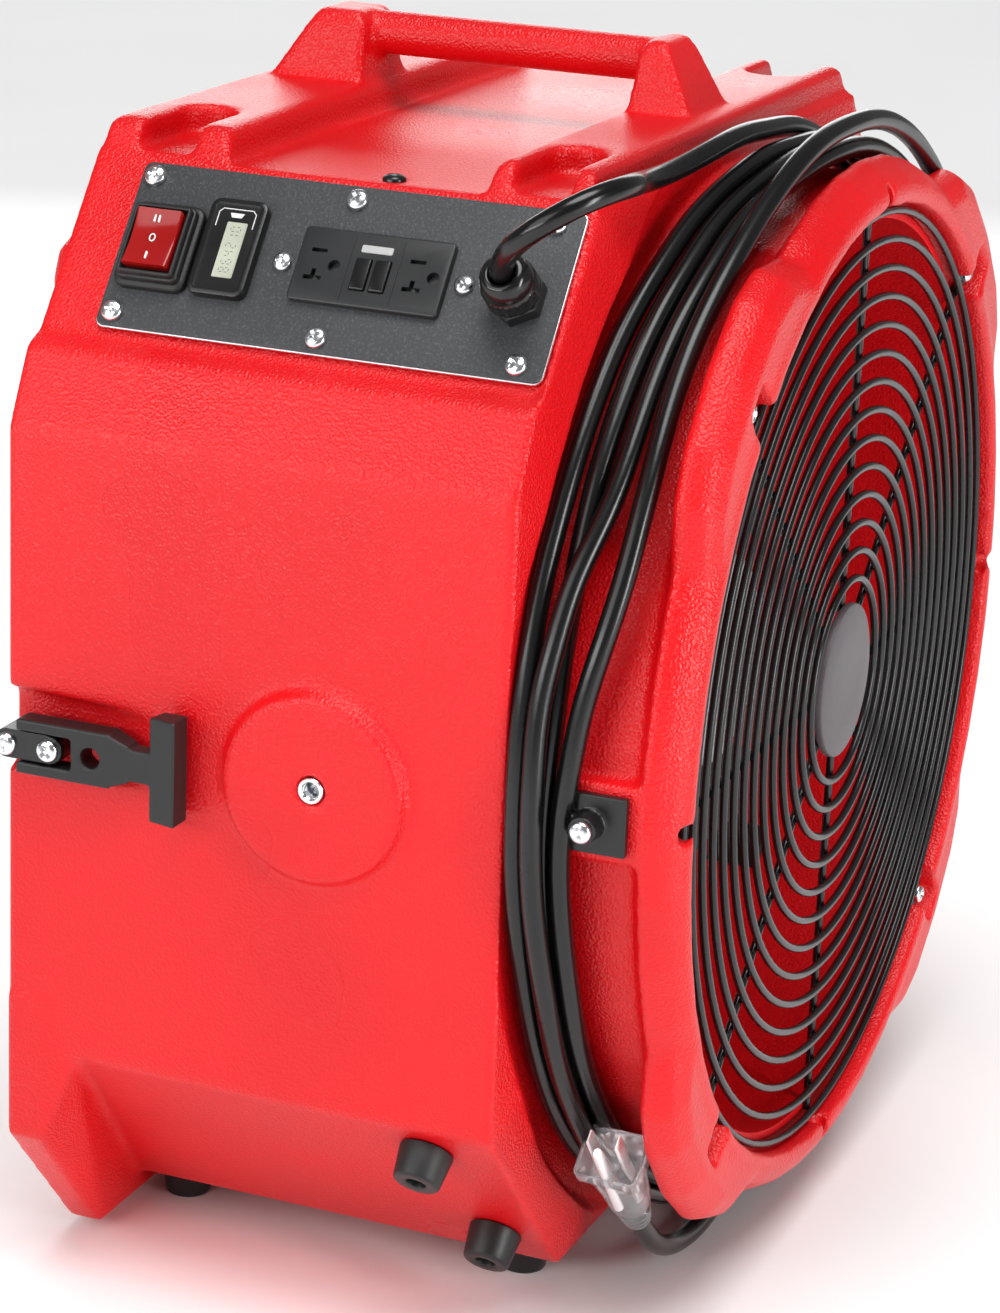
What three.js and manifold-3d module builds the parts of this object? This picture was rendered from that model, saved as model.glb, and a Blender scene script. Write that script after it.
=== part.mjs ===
// Commercial axial air mover: moulded housing, ducted fan, wire guards,
// control panel with outlet, side latches and a cord wound round the drum.
// Millimetres, +Z up, the fan axis along Y, air leaves towards -Y.
// Everything is laid out from the fan axis and the outlet guard plane;
// the group is then moved so that the feet stand on z = 0.
import * as THREE from "three";
import { mergeVertices } from "three/addons/utils/BufferGeometryUtils.js";
import { ConvexGeometry } from "three/addons/geometries/ConvexGeometry.js";
import Module from "manifold-3d";

const wasm = await Module();
wasm.setup();

// ---------------------------------------------------------------- sizes
const AXIS_Z = 256; // fan axis above the floor
const MID_Y = 150; // outlet guard plane to the middle of the depth
const GAP = 0.3; // clearance between pieces
const WALL = 5;
const HALF = 246; // half width of the body
const BODY_Y0 = 65; // outlet end of the full body section
const BODY_Y1 = 294; // inlet end
const TAPER_Y = 51; // where the end chamfer meets the drum
const DRUM_R = 229;
const RIM_R = 238;
const RIM_Y = -8; // foremost point of the rim
const OPENING_R = 217.5; // rim opening that takes the outlet guard
const DUCT_R = 209; // inside of the duct liner
const DECK_Z = 238;
const BLOCK_Z = 252;
const SOCKET_Z = 240; // floor of the stacking sockets
const BOTTOM_Z = -238;
const RIB_Z = -251;
const RING_FIRST = 46.9; // smallest guard ring
const RING_PITCH = 12.84;
const RINGS = 14;
const WIRE = 3.6;
const HUB_R = 35.6;
const SCREW_CIRCLE = 226;
const FAN_R = 202;
const FAN_Y0 = 158;
const FAN_Y1 = 226;
const MOTOR_R = 77;
const MOTOR_Y0 = 54;
const MOTOR_Y1 = 142;
const CORD_D = 9.5;
const BOSS_Y = 149;
const LATCH_Y = 277; // latch pivot

// ---------------------------------------------------------------- looks
const look = (color, roughness, metalness = 0) =>
  new THREE.MeshStandardMaterial({ color, roughness, metalness });
const RED = look(0xd8141c, 0.5);
const LINER_RED = look(0x9c0d12, 0.55);
const WIRE_BLACK = look(0x24262a, 0.45, 0.3);
const PANEL_BLACK = look(0x2b2c30, 0.6, 0.2);
const PLASTIC_BLACK = look(0x17181a, 0.5);
const RUBBER = look(0x141414, 0.8);
const ZINC = look(0xc9ccd0, 0.3, 0.9);
const STEEL = look(0x8d9196, 0.35, 0.9);
const SWITCH_RED = look(0xb8201f, 0.25);
const CAP_GREY = look(0x9a9da0, 0.4, 0.7);
const LCD = look(0xb9c4a4, 0.2);
const CLEAR = look(0xd9dde0, 0.15);

// ---------------------------------------------------------------- solids
function solid(geometry) {
  const loose = geometry.index ? geometry.toNonIndexed() : geometry.clone();
  loose.deleteAttribute("normal");
  loose.deleteAttribute("uv");
  const merged = mergeVertices(loose, 1e-3);
  const triVerts = new Uint32Array(merged.index.array);
  const vertProperties = merged.attributes.position.array;
  const make = () =>
    new wasm.Manifold(new wasm.Mesh({ numProp: 3, vertProperties, triVerts }));
  let made = make();
  if (made.volume() < 0) {
    for (let i = 0; i < triVerts.length; i += 3) {
      [triVerts[i + 1], triVerts[i + 2]] = [triVerts[i + 2], triVerts[i + 1]];
    }
    made = make();
  }
  return made;
}

const union = (...all) => all.flat().reduce((a, b) => a.add(b));
const moved = (s, x, y, z) => s.translate([x, y, z]);

function box(x0, x1, y0, y1, z0, z1) {
  const g = new THREE.BoxGeometry(x1 - x0, y1 - y0, z1 - z0);
  g.translate((x0 + x1) / 2, (y0 + y1) / 2, (z0 + z1) / 2);
  return solid(g);
}

// A polygon in X and Z carried along Y.
function prism(points, y0, y1) {
  const shape = new THREE.Shape(points.map(([x, z]) => new THREE.Vector2(x, z)));
  const g = new THREE.ExtrudeGeometry(shape, { depth: y1 - y0, bevelEnabled: false });
  g.rotateX(Math.PI / 2);
  g.translate(0, y1, 0);
  return solid(g);
}

const hull = (points) =>
  solid(new ConvexGeometry(points.map((p) => new THREE.Vector3(...p))));

// A profile of [radius, y] pairs turned about the fan axis.
function turned(profile, segments = 48) {
  const pts = profile.map(([r, y]) => new THREE.Vector2(r, y));
  if (profile[0][0] > 0) pts.push(pts[0].clone());
  return solid(new THREE.LatheGeometry(pts, segments));
}

// A profile of [radius, distance] pairs turned about any axis through a point.
function turnedOn(profile, at, out, segments = 12) {
  const pts = profile.map(([r, d]) => new THREE.Vector2(r, d));
  if (profile[0][0] > 0) pts.push(pts[0].clone());
  const g = new THREE.LatheGeometry(pts, segments);
  const up = new THREE.Vector3(0, 1, 0);
  const to = new THREE.Vector3(...out).normalize();
  g.applyQuaternion(new THREE.Quaternion().setFromUnitVectors(up, to));
  g.translate(...at);
  return solid(g);
}

// A cylinder or cone from one point to another.
function rod(a, b, r0, r1 = r0, segments = 12) {
  const from = new THREE.Vector3(...a);
  const to = new THREE.Vector3(...b);
  const along = to.clone().sub(from);
  const g = new THREE.CylinderGeometry(r1, r0, along.length(), segments);
  const up = new THREE.Vector3(0, 1, 0);
  g.applyQuaternion(
    new THREE.Quaternion().setFromUnitVectors(up, along.clone().normalize()),
  );
  const mid = from.add(to).multiplyScalar(0.5);
  g.translate(mid.x, mid.y, mid.z);
  return solid(g);
}

// A round tube through points, smooth or straight.
function tube(points, radius, steps, sides = 8, closed = false) {
  const path = new THREE.CatmullRomCurve3(
    points.map((p) => new THREE.Vector3(...p)),
    closed,
    "centripetal",
  );
  const circle = new THREE.Shape();
  for (let i = 0; i < sides; i++) {
    const t = (2 * Math.PI * i) / sides;
    const at = [radius * Math.cos(t), radius * Math.sin(t)];
    i ? circle.lineTo(...at) : circle.moveTo(...at);
  }
  circle.closePath();
  return solid(
    new THREE.ExtrudeGeometry(circle, { steps, extrudePath: path, bevelEnabled: false }),
  );
}

// ---------------------------------------------------------------- assembly
const group = new THREE.Group();
group.position.set(0, -MID_Y, AXIS_Z);

function add(name, manifold, material) {
  const m = manifold.simplify(0.08).getMesh();
  const position = new Float32Array(m.numVert * 3);
  for (let i = 0; i < m.numVert; i++) {
    const at = i * m.numProp;
    position.set(m.vertProperties.subarray(at, at + 3), i * 3);
  }
  let g = new THREE.BufferGeometry();
  g.setAttribute("position", new THREE.BufferAttribute(position, 3));
  g.setIndex(new THREE.BufferAttribute(new Uint32Array(m.triVerts), 1));
  g = g.toNonIndexed();
  g.computeVertexNormals();
  const mesh = new THREE.Mesh(g, material);
  mesh.name = name;
  group.add(mesh);
}

// ---------------------------------------------------------------- housing
const SIDE_POINTS = [
  [-170, DECK_Z], // deck edge above the panel
  [-220, 171], // foot of the panel face
  [-231, 166], // ledge
  [-HALF, 134], // upper crease
  [-HALF, -144], // lower crease
  [-158, BOTTOM_Z], // bottom edge
];
const mirrored = (points) => [
  ...points,
  ...points.map(([x, z]) => [-x, z]).reverse(),
];
const OUTLINE = mirrored(SIDE_POINTS);
const CAVITY = mirrored([
  [-167, DECK_Z - WALL],
  [-214.5, 167.5],
  [-226.5, 162.5],
  [-HALF + WALL, 132],
  [-HALF + WALL, -142],
  [-155.5, BOTTOM_Z + WALL],
]);

const slice = (points, y, k = 1) => points.map(([x, z]) => [x * k, y, z * k]);
const convexSide = SIDE_POINTS.filter((p, i) => i !== 1);
const endSlice = mirrored(convexSide);

// Full section, end chamfer and drum.
let shell = prism(OUTLINE, BODY_Y0, BODY_Y1);
shell = shell.add(
  hull([...slice(endSlice, BODY_Y0 + 0.5), ...slice(endSlice, TAPER_Y, 0.8)]),
);
shell = shell.add(
  turned(
    [
      [0, RIM_Y + 1.5],
      [219, RIM_Y + 1.5],
      [221.5, RIM_Y],
      [226, RIM_Y + 1],
      [231.5, RIM_Y + 5],
      [235.5, RIM_Y + 11],
      [RIM_R, RIM_Y + 17],
      [RIM_R - 1, 11],
      [DRUM_R, 13.5],
      [DRUM_R, 75],
      [0, 75],
    ],
    48,
  ),
);

// Four rounded corner lugs on the rim.
const LUG_R = 257.5;
const LUG_ARC = [
  [-19, 21],
  [-13, 6],
  [-8, 1],
  [0, 0],
  [8, 1],
  [13, 6],
  [19, 21],
];
function lugSlice(deg, less, y) {
  const pts = LUG_ARC.map(([turn, drop]) => [deg + turn, LUG_R - drop - less]);
  return [...pts, [deg - 15, 205], [deg + 15, 205]].map(([angle, r]) => {
    const t = (angle * Math.PI) / 180;
    return [r * Math.cos(t), y, r * Math.sin(t)];
  });
}
for (const deg of [45, 135, 225, 315]) {
  shell = shell.add(
    hull([
      ...lugSlice(deg, 13, RIM_Y + 1.5),
      ...lugSlice(deg, 4, RIM_Y + 6),
      ...lugSlice(deg, 0, RIM_Y + 14),
      ...lugSlice(deg, 0, 11),
      ...lugSlice(deg, 5, 13.5),
    ]),
  );
}

// The deeper rib round the lower half of the inlet end.
const RIB = [
  [-HALF - 1, -120],
  [-HALF - 1, -186],
  [-190, RIB_Z],
];
const ribPoints = mirrored(RIB);
const ribFoot = mirrored([
  [-HALF + 1, -120],
  [-HALF + 1, -144],
]);
shell = shell.add(
  hull([
    ...slice(ribPoints, BODY_Y1),
    ...slice(ribPoints, BODY_Y1 - 17),
    ...slice(ribFoot, BODY_Y1 - 34),
    ...slice(mirrored([[-158, BOTTOM_Z + 1]]), BODY_Y1 - 19),
  ]),
);

// Nesting lugs on the inlet face.
for (const sx of [-1, 1]) {
  for (const sz of [-1, 1]) {
    const c = [sx * 166, sz * 182];
    const ring = (y, k) =>
      [0, 1, 2, 3, 4, 5, 6, 7].map((i) => {
        const t = (Math.PI * i) / 4;
        return [c[0] + 24 * k * Math.cos(t), y, c[1] + 24 * k * Math.sin(t)];
      });
    shell = shell.add(hull([...ring(BODY_Y1 - 3, 1), ...ring(BODY_Y1 + 9, 0.9), ...ring(308, 0.7)]));
  }
}

// Raised blocks along the deck, each with a stacking socket at both ends.
function block(y0, y1) {
  let b = hull([
    [-171, y0, DECK_Z - 3],
    [-171, y1, DECK_Z - 3],
    [171, y0, DECK_Z - 3],
    [171, y1, DECK_Z - 3],
    [-163, y0 + 2, BLOCK_Z - 3],
    [-163, y1 - 2, BLOCK_Z - 3],
    [163, y0 + 2, BLOCK_Z - 3],
    [163, y1 - 2, BLOCK_Z - 3],
    [-158, y0 + 5, BLOCK_Z],
    [-158, y1 - 5, BLOCK_Z],
    [158, y0 + 5, BLOCK_Z],
    [158, y1 - 5, BLOCK_Z],
  ]);
  const mid = (y0 + y1) / 2;
  for (const s of [-1, 1]) {
    b = b.subtract(box(s < 0 ? -200 : 128, s < 0 ? -128 : 200, mid - 13, mid + 13, SOCKET_Z, 300));
    b = b.subtract(rod([s * 128, mid, SOCKET_Z], [s * 128, mid, 300], 13, 13, 16));
  }
  return b;
}
shell = shell.add(block(68, 116)).add(block(232, 293.5));

// Hollow inside, kept open through the duct bore.
let hollow = prism(CAVITY, BODY_Y0 + 4, BODY_Y1 - WALL);
hollow = hollow.add(turned([[0, 16], [DRUM_R - WALL, 16], [DRUM_R - WALL, 75], [0, 75]], 32));
shell = shell.subtract(hollow);

// Bosses on both sides carry a threaded insert at the fan axis height.
function sideBoss(s) {
  const outer = rod([s * (HALF - 1), BOSS_Y, 0], [s * (HALF + 6), BOSS_Y, 0], 43, 40, 40);
  const inner = rod([s * (HALF + 2), BOSS_Y, 0], [s * (HALF - 24), BOSS_Y, 0], 14, 14, 16);
  return outer.add(inner);
}
shell = shell.add(sideBoss(-1)).add(sideBoss(1));
for (const s of [-1, 1]) {
  shell = shell.subtract(
    rod([s * (HALF + 9), BOSS_Y, 0], [s * (HALF - 14), BOSS_Y, 0], 6.2, 6.2, 16),
  );
}

// Latch pockets fade out along both sides from the inlet end.
function latchPocket(s) {
  const x = (d) => s * (HALF + d);
  return hull([
    [x(4), BODY_Y1 + 20, 22],
    [x(4), BODY_Y1 + 20, -17],
    [x(4), 215, 18],
    [x(4), 215, -13],
    [x(-8), BODY_Y1 + 20, 18],
    [x(-8), BODY_Y1 + 20, -13],
    [x(-8), 262, 18],
    [x(-8), 262, -13],
    [x(0), 222, 15],
    [x(0), 222, -10],
  ]);
}
// A pad behind each pocket keeps the wall closed and takes the latch screws.
for (const s of [-1, 1]) {
  const x0 = Math.min(s * (HALF - 22), s * (HALF - 2));
  shell = shell.add(box(x0, x0 + 20, 215, BODY_Y1 - 1, -26, 30));
  shell = shell.subtract(latchPocket(s));
}

// Ledge on the drum under each keeper, with the keeper seat cut flat.
const KEEP = { y0: 13.8, y1: 40, z0: -9, z1: 16, x: 236.5 };
for (const s of [-1, 1]) {
  const x = (a, b) => [Math.min(s * a, s * b), Math.max(s * a, s * b)];
  shell = shell.add(box(...x(210, KEEP.x), 10, 42, KEEP.z0 - 5, KEEP.z1 + 4));
}

// Through bore for the duct liner and the outlet guard seat.
shell = shell.subtract(turned([[0, -40], [OPENING_R, -40], [OPENING_R, 4.6], [213.8, 4.6], [213.8, 400], [0, 400]], 48));

// Screw pockets at the four lugs, radial notches between them.
const LUG_ANGLES = [45, 135, 225, 315];
const polar = (deg, r, y) => {
  const t = (deg * Math.PI) / 180;
  return [r * Math.cos(t), y, r * Math.sin(t)];
};
for (const a of LUG_ANGLES) {
  shell = shell.subtract(
    hull(
      [
        [-9, 212, -20],
        [-9, 212, 4.6],
        [9, 212, -20],
        [9, 212, 4.6],
        [-8, 234, 4.6],
        [8, 234, 4.6],
        [-10, 242, -20],
        [10, 242, -20],
      ].map(([t, r, y]) => {
        const p = polar(a, r, y);
        const q = polar(a + 90, t, 0);
        return [p[0] + q[0], y, p[2] + q[2]];
      }),
    ),
  );
  shell = shell.subtract(rod(polar(a, SCREW_CIRCLE, 0), polar(a, SCREW_CIRCLE, 15), 2.4, 2.4, 10));
}
for (const a of [0, 90, 180, 270]) {
  shell = shell.subtract(rod(polar(a, 205, 1.2), polar(a, 228, -5), 5.5, 4, 12));
}

// ---------------------------------------------------------------- panel frame
// u runs along the panel towards the outlet, v up its slope, w outwards.
const PANEL = { y0: 67.5, y1: 267.5, length: 200, height: 76.8, thick: 2 };
const TOP = new THREE.Vector3(-173, 0, 235.5);
const FOOT = new THREE.Vector3(-219, 0, 174);
const vAxis = TOP.clone().sub(FOOT).normalize();
const uAxis = new THREE.Vector3(0, -1, 0);
const wAxis = new THREE.Vector3().crossVectors(uAxis, vAxis);
const panelMid = TOP.clone().add(FOOT).multiplyScalar(0.5);
panelMid.y = (PANEL.y0 + PANEL.y1) / 2;
const onPanel = (u, v, w) =>
  panelMid
    .clone()
    .addScaledVector(uAxis, u)
    .addScaledVector(vAxis, v)
    .addScaledVector(wAxis, w)
    .toArray();
const panelFrame = new THREE.Matrix4()
  .makeBasis(uAxis, vAxis, wAxis)
  .setPosition(panelMid);

function roundedShape(w, h, r, cx = 0, cy = 0, arc = 3) {
  const pts = [];
  for (let q = 0; q < 4; q++) {
    const sx = [1, -1, -1, 1][q];
    const sy = [1, 1, -1, -1][q];
    for (let i = 0; i <= arc; i++) {
      const t = (Math.PI / 2) * (q + i / arc);
      pts.push(
        new THREE.Vector2(
          cx + sx * (w / 2 - r) + r * Math.cos(t),
          cy + sy * (h / 2 - r) + r * Math.sin(t),
        ),
      );
    }
  }
  return new THREE.Shape(pts);
}

// A rounded plate standing on the panel between two heights.
function plate(w, h, r, cx, cy, z0, z1, arc = 3) {
  const g = new THREE.ExtrudeGeometry(roundedShape(w, h, r, cx, cy, arc), {
    depth: z1 - z0,
    bevelEnabled: false,
  });
  g.translate(0, 0, z0);
  g.applyMatrix4(panelFrame);
  return solid(g);
}
const pin = (u, v, w0, w1, r0, r1 = r0, seg = 12) =>
  rod(onPanel(u, v, w0), onPanel(u, v, w1), r0, r1, seg);

// Layout on the panel: w = 0 is the housing face.
const PANEL_SCREWS = [
  [-93, 31.5], [0, 31.5], [88, 31.5],
  [-93, -31.5], [0, -31.5], [88, -31.5],
];
const ROCKER = { u: -80, v: -1, w: 27, h: 33 };
const METER = { u: -49, v: 2, w: 26, h: 44 };
const GFCI = { u: 16, v: 0, w: 66.8, h: 33.3 };
const GLAND = { u: 81, v: -3 };
const GFCI_SCREWS = [GFCI.u - 40.5, GFCI.u + 40.5];

// The wall behind the panel is cut away for the fittings.
shell = shell.subtract(plate(185, 46, 4, 0.5, 0, -14, 3));
for (const [u, v] of PANEL_SCREWS) shell = shell.subtract(pin(u, v, -9, 2, 2.1, 2.1, 8));

// Deck screw.
const DECK_SCREW = [-160, 160];
shell = shell.subtract(
  rod([DECK_SCREW[0], DECK_SCREW[1], DECK_Z - 12], [DECK_SCREW[0], DECK_SCREW[1], DECK_Z + 2], 2.2, 2.2, 8),
);
shell = shell.subtract(
  rod([DECK_SCREW[0], DECK_SCREW[1], DECK_Z - 1.6], [DECK_SCREW[0], DECK_SCREW[1], DECK_Z + 3], 5.2, 5.2, 14),
);

// ---------------------------------------------------------------- feet
const FEET_X = 132;
const FOOT_H = 18;
const footPrint = [];
for (const s of [-1, 1]) {
  for (const y of [92, 262]) {
    footPrint.push({
      name: `foot_${s < 0 ? "left" : "right"}_${y < 150 ? "outlet" : "inlet"}`,
      at: [s * FEET_X, y, BOTTOM_Z],
      out: [0, 0, -1],
      h: FOOT_H,
    });
  }
  const t = new THREE.Vector3(s * -1 * 0.683, 0, -0.73);
  const n = [s * 0.73, 0, -0.683];
  [20, 101].forEach((d, i) => {
    const base = new THREE.Vector3(s * HALF, 0, -144).addScaledVector(t, d);
    footPrint.push({
      name: `tilt_foot_${s < 0 ? "left" : "right"}_${i ? "lower" : "upper"}`,
      at: [base.x, i ? 88 : 99, base.z],
      out: n,
      h: 16,
    });
  });
}
for (const f of footPrint) {
  const at = (d) => f.at.map((c, i) => c + f.out[i] * d);
  shell = shell.subtract(rod(at(2), at(-12), 3.7, 3.7, 8));
  add(
    f.name,
    turnedOn(
      [[0, -8], [3, -8], [3, GAP], [12, GAP], [9.8, f.h], [4.2, f.h], [4.2, f.h - 7], [0, f.h - 7]],
      f.at,
      f.out,
      14,
    ),
    RUBBER,
  );
}

add("housing", shell, RED);

// ---------------------------------------------------------------- handle
const HANDLE_Z = 273.5;
function pillar(y0, y1, t0, t1) {
  const foot = BLOCK_Z + GAP;
  return hull([
    [-25, y0, foot], [25, y0, foot], [-25, y1, foot], [25, y1, foot],
    [-18, t0, 279], [18, t0, 279], [-18, t1, 279], [18, t1, 279],
    [-14, t0 + 3, 284], [14, t0 + 3, 284], [-14, t1 - 3, 284], [14, t1 - 3, 284],
  ]);
}
add(
  "carry_handle",
  union(
    pillar(79, 110, 93, 108),
    pillar(238, 284, 240, 267),
    rod([0, 100, HANDLE_Z], [0, 250, HANDLE_Z], 10, 10, 20),
  ),
  RED,
);

// ---------------------------------------------------------------- duct liner
add(
  "duct_liner",
  turned(
    [
      [DUCT_R, 4.9],
      [213.4, 4.9],
      [213.4, BODY_Y1 - 0.5],
      [212, BODY_Y1 + 1.5],
      [DUCT_R + 1, BODY_Y1 + 1.5],
      [DUCT_R - 3, BODY_Y1 - 14],
      [DUCT_R - 3, 60],
    ],
    48,
  ),
  LINER_RED,
);

// ---------------------------------------------------------------- guards
const ringSegments = (r) => (r < 80 ? 14 : r < 130 ? 18 : r < 180 ? 24 : 32);

function guard(y, back, radii, spokes, hubR) {
  const rings = radii.map((r) => {
    const h = WIRE / 2;
    return turned([[r - h, y - h / 2], [r + h, y - h / 2], [r, y + h]], ringSegments(r));
  });
  const bars = spokes.map(([a, reach]) =>
    rod(polar(a, hubR - 8, back), polar(a, reach, back), 2, 2, 4),
  );
  const hub = turned(
    [[0, y - 1.6], [hubR, y - 1.6], [hubR, back + 1], [0, back + 1]],
    20,
  );
  return union(hub, bars, rings);
}
const ringRadii = [...Array(RINGS).keys()].map((k) => RING_FIRST + RING_PITCH * k);
let front = guard(
  0,
  2.6,
  ringRadii,
  [0, 45, 90, 135, 180, 225, 270, 315].map((a) => [a, a % 90 ? 222 : 215.4]),
  HUB_R,
);
// Each lug spoke ends in a flat eye under its screw.
for (const a of LUG_ANGLES) {
  front = front.add(rod(polar(a, SCREW_CIRCLE, 1.4), polar(a, SCREW_CIRCLE, 4.2), 5.5, 5.5, 12));
  front = front.subtract(rod(polar(a, SCREW_CIRCLE, -3), polar(a, SCREW_CIRCLE, 8), 2.4, 2.4, 8));
}
add("outlet_guard", front, WIRE_BLACK);

const REAR_Y = BODY_Y1 + 5;
let rear = guard(
  REAR_Y,
  REAR_Y + 2.6,
  [45, 60, 75, 90, 105, 120, 135, 150, 165, 180, 194, 208],
  [0, 90, 180, 270].map((a) => [a, 221]),
  HUB_R,
);
for (const a of [0, 90, 180, 270]) {
  rear = rear.add(rod(polar(a, 222, BODY_Y1 + GAP), polar(a, 222, REAR_Y + 4), 6, 6, 8));
}
add("inlet_guard", rear, WIRE_BLACK);

// Pan-head screw along any direction: head outside `at`, shank inside.
function screw(at, out, head = 4.6, shank = 1.9, length = 9) {
  return turnedOn(
    [
      [0, -length], [shank, -length], [shank, GAP], [head, GAP],
      [head, 1.4], [head * 0.6, 2.7], [0, 2.7],
    ],
    at,
    out,
    10,
  );
}
LUG_ANGLES.forEach((a, i) => {
  add(`guard_screw_${i + 1}`, screw(polar(a, SCREW_CIRCLE, 1.4), [0, -1, 0]), ZINC);
});

// ---------------------------------------------------------------- motor and fan
const motor = union(
  turned(
    [
      [0, MOTOR_Y0], [30, MOTOR_Y0], [46, MOTOR_Y0 + 3], [50, MOTOR_Y0 + 8], [50, MOTOR_Y0 + 21],
      [70, MOTOR_Y0 + 22], [MOTOR_R, MOTOR_Y0 + 28], [MOTOR_R, MOTOR_Y1 - 14],
      [66, MOTOR_Y1 - 6], [30, MOTOR_Y1 - 4], [26, MOTOR_Y1], [0, MOTOR_Y1],
    ],
    32,
  ),
).subtract(rod([0, MOTOR_Y1 - 30, 0], [0, MOTOR_Y1 + 5, 0], 8.3, 8.3, 16));
add("motor", motor, PLASTIC_BLACK);

add("motor_shaft", rod([0, MOTOR_Y1 - 26, 0], [0, FAN_Y1 + 6, 0], 8, 8, 16), STEEL);

// Four strap arms hold the motor on the duct wall.
let mount = turned([[MOTOR_R + GAP, 84], [MOTOR_R + 3.3, 84], [MOTOR_R + 3.3, 100], [MOTOR_R + GAP, 100]], 32);
for (const a of [0, 90, 180, 270]) {
  const arm = box(MOTOR_R + 2, DUCT_R - 4.2, 84, 100, -2, 2)
    .add(box(DUCT_R - 7, DUCT_R - 4.2, 78, 106, -12, 12));
  mount = mount.add(arm.rotate([0, a + 45, 0]));
}
// A yoke over and under the front bell.
for (const s of [-1, 1]) {
  const z = (a, b) => [Math.min(s * a, s * b), Math.max(s * a, s * b)];
  mount = mount.add(box(-38, 38, 57, MOTOR_Y0 + 20.5, ...z(53, 86)));
  mount = mount.add(box(-20, 20, 60, 92, ...z(78.4, 86)));
}
add("motor_mount", mount, PLASTIC_BLACK);

// Fan: a hub and five pitched blades.
function blade(angle) {
  const rows = [
    [46, 34, 40],
    [100, 42, 32],
    [150, 50, 25],
    [FAN_R, 54, 20],
  ];
  const mid = (FAN_Y0 + FAN_Y1) / 2;
  const position = [];
  const index = [];
  const around = 8;
  rows.forEach(([r, chord, pitch]) => {
    const p = (pitch * Math.PI) / 180;
    for (let i = 0; i < around; i++) {
      const t = (2 * Math.PI * i) / around;
      const c = chord * Math.cos(t);
      const th = 2.6 * Math.sin(t) + 5 * (1 - Math.cos(t) ** 2);
      const side = c * Math.cos(p) - th * Math.sin(p);
      const lift = c * Math.sin(p) + th * Math.cos(p);
      const a = side / r;
      position.push(r * Math.cos(a), mid + lift, r * Math.sin(a));
    }
  });
  for (let k = 0; k < rows.length - 1; k++) {
    for (let i = 0; i < around; i++) {
      const a = k * around + i;
      const b = k * around + ((i + 1) % around);
      index.push(a, b, b + around, a, b + around, a + around);
    }
  }
  for (let i = 1; i < around - 1; i++) {
    index.push(0, i + 1, i);
    const o = (rows.length - 1) * around;
    index.push(o, o + i, o + i + 1);
  }
  const g = new THREE.BufferGeometry();
  g.setAttribute("position", new THREE.BufferAttribute(new Float32Array(position), 3));
  g.setIndex(index);
  g.rotateY(angle);
  return solid(g);
}
let fan = turned(
  [[0, FAN_Y0], [40, FAN_Y0], [52, FAN_Y0 + 4], [52, FAN_Y1 - 8], [44, FAN_Y1], [0, FAN_Y1]],
  32,
);
for (let i = 0; i < 5; i++) fan = fan.add(blade((2 * Math.PI * i) / 5));
fan = fan.subtract(rod([0, FAN_Y0 - 20, 0], [0, FAN_Y1 + 20, 0], 8.3, 8.3, 16));
add("fan", fan, PLASTIC_BLACK);

// ---------------------------------------------------------------- panel parts
let panel = plate(PANEL.length, PANEL.height, 4, 0, 0, GAP, PANEL.thick + GAP);
panel = panel.subtract(plate(22.6, 30.6, 2, ROCKER.u, ROCKER.v, -5, 5, 1));
panel = panel.subtract(plate(21.6, 39.6, 2, METER.u, METER.v, -5, 5, 1));
panel = panel.subtract(plate(GFCI.w + 0.8, GFCI.h + 0.8, 1.2, GFCI.u, GFCI.v, -5, 5, 1));
panel = panel.subtract(pin(GLAND.u, GLAND.v, -5, 5, 8.4, 8.4, 16));
for (const [u, v] of PANEL_SCREWS) panel = panel.subtract(pin(u, v, -5, 5, 2.3, 2.3, 8));
for (const u of GFCI_SCREWS) panel = panel.subtract(pin(u, GFCI.v, -5, 5, 2.1, 2.1, 8));
add("control_panel", panel, PANEL_BLACK);

const FACE = PANEL.thick + GAP; // outside of the plate
const w3 = wAxis.toArray();
PANEL_SCREWS.forEach(([u, v], i) => {
  add(`panel_screw_${i + 1}`, screw(onPanel(u, v, FACE), w3, 4.6, 1.8, 8), ZINC);
});

// Duplex outlet with test and reset buttons.
let gfci = plate(GFCI.w, GFCI.h, 1.2, GFCI.u, GFCI.v, -3, FACE + 3.2, 1);
gfci = gfci.add(plate(97, 27, 2, GFCI.u, GFCI.v, -3.6, -0.9, 1));
gfci = gfci.add(plate(70, 44, 3, GFCI.u, GFCI.v, -40, -3, 1));
for (const s of [-1, 1]) {
  const c = GFCI.u + s * 22;
  gfci = gfci.subtract(plate(7, 1.8, 0.3, c - 2.6, GFCI.v + 6.2, -9, 9, 1));
  gfci = gfci.subtract(plate(8, 2, 0.3, c - 2.6, GFCI.v - 6.2, -9, 9, 1));
  gfci = gfci.subtract(plate(2, 5, 0.3, c - 2.6, GFCI.v - 4.6, -9, 9, 1));
  gfci = gfci.subtract(pin(c + 5.6, GFCI.v, -9, 9, 2.6, 2.6, 10));
}
const BUTTON_U = [-3.8, 4.8]; // the two buttons stand side by side
for (const du of BUTTON_U) {
  gfci = gfci.subtract(plate(7.4, 14.6, 0.6, GFCI.u + du, GFCI.v - 2.4, -2, 9, 1));
}
gfci = gfci.subtract(plate(15, 3.6, 0.6, GFCI.u + 0.5, GFCI.v + 9.2, FACE + 2.4, 9, 1));
for (const u of GFCI_SCREWS) gfci = gfci.subtract(pin(u, GFCI.v, -12, 2, 1.9, 1.9, 8));
add("outlet_receptacle", gfci, PLASTIC_BLACK);
GFCI_SCREWS.forEach((u, i) => {
  add(`outlet_screw_${i + 1}`, screw(onPanel(u, GFCI.v, FACE), w3, 4.2, 1.6, 7), ZINC);
});
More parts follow.
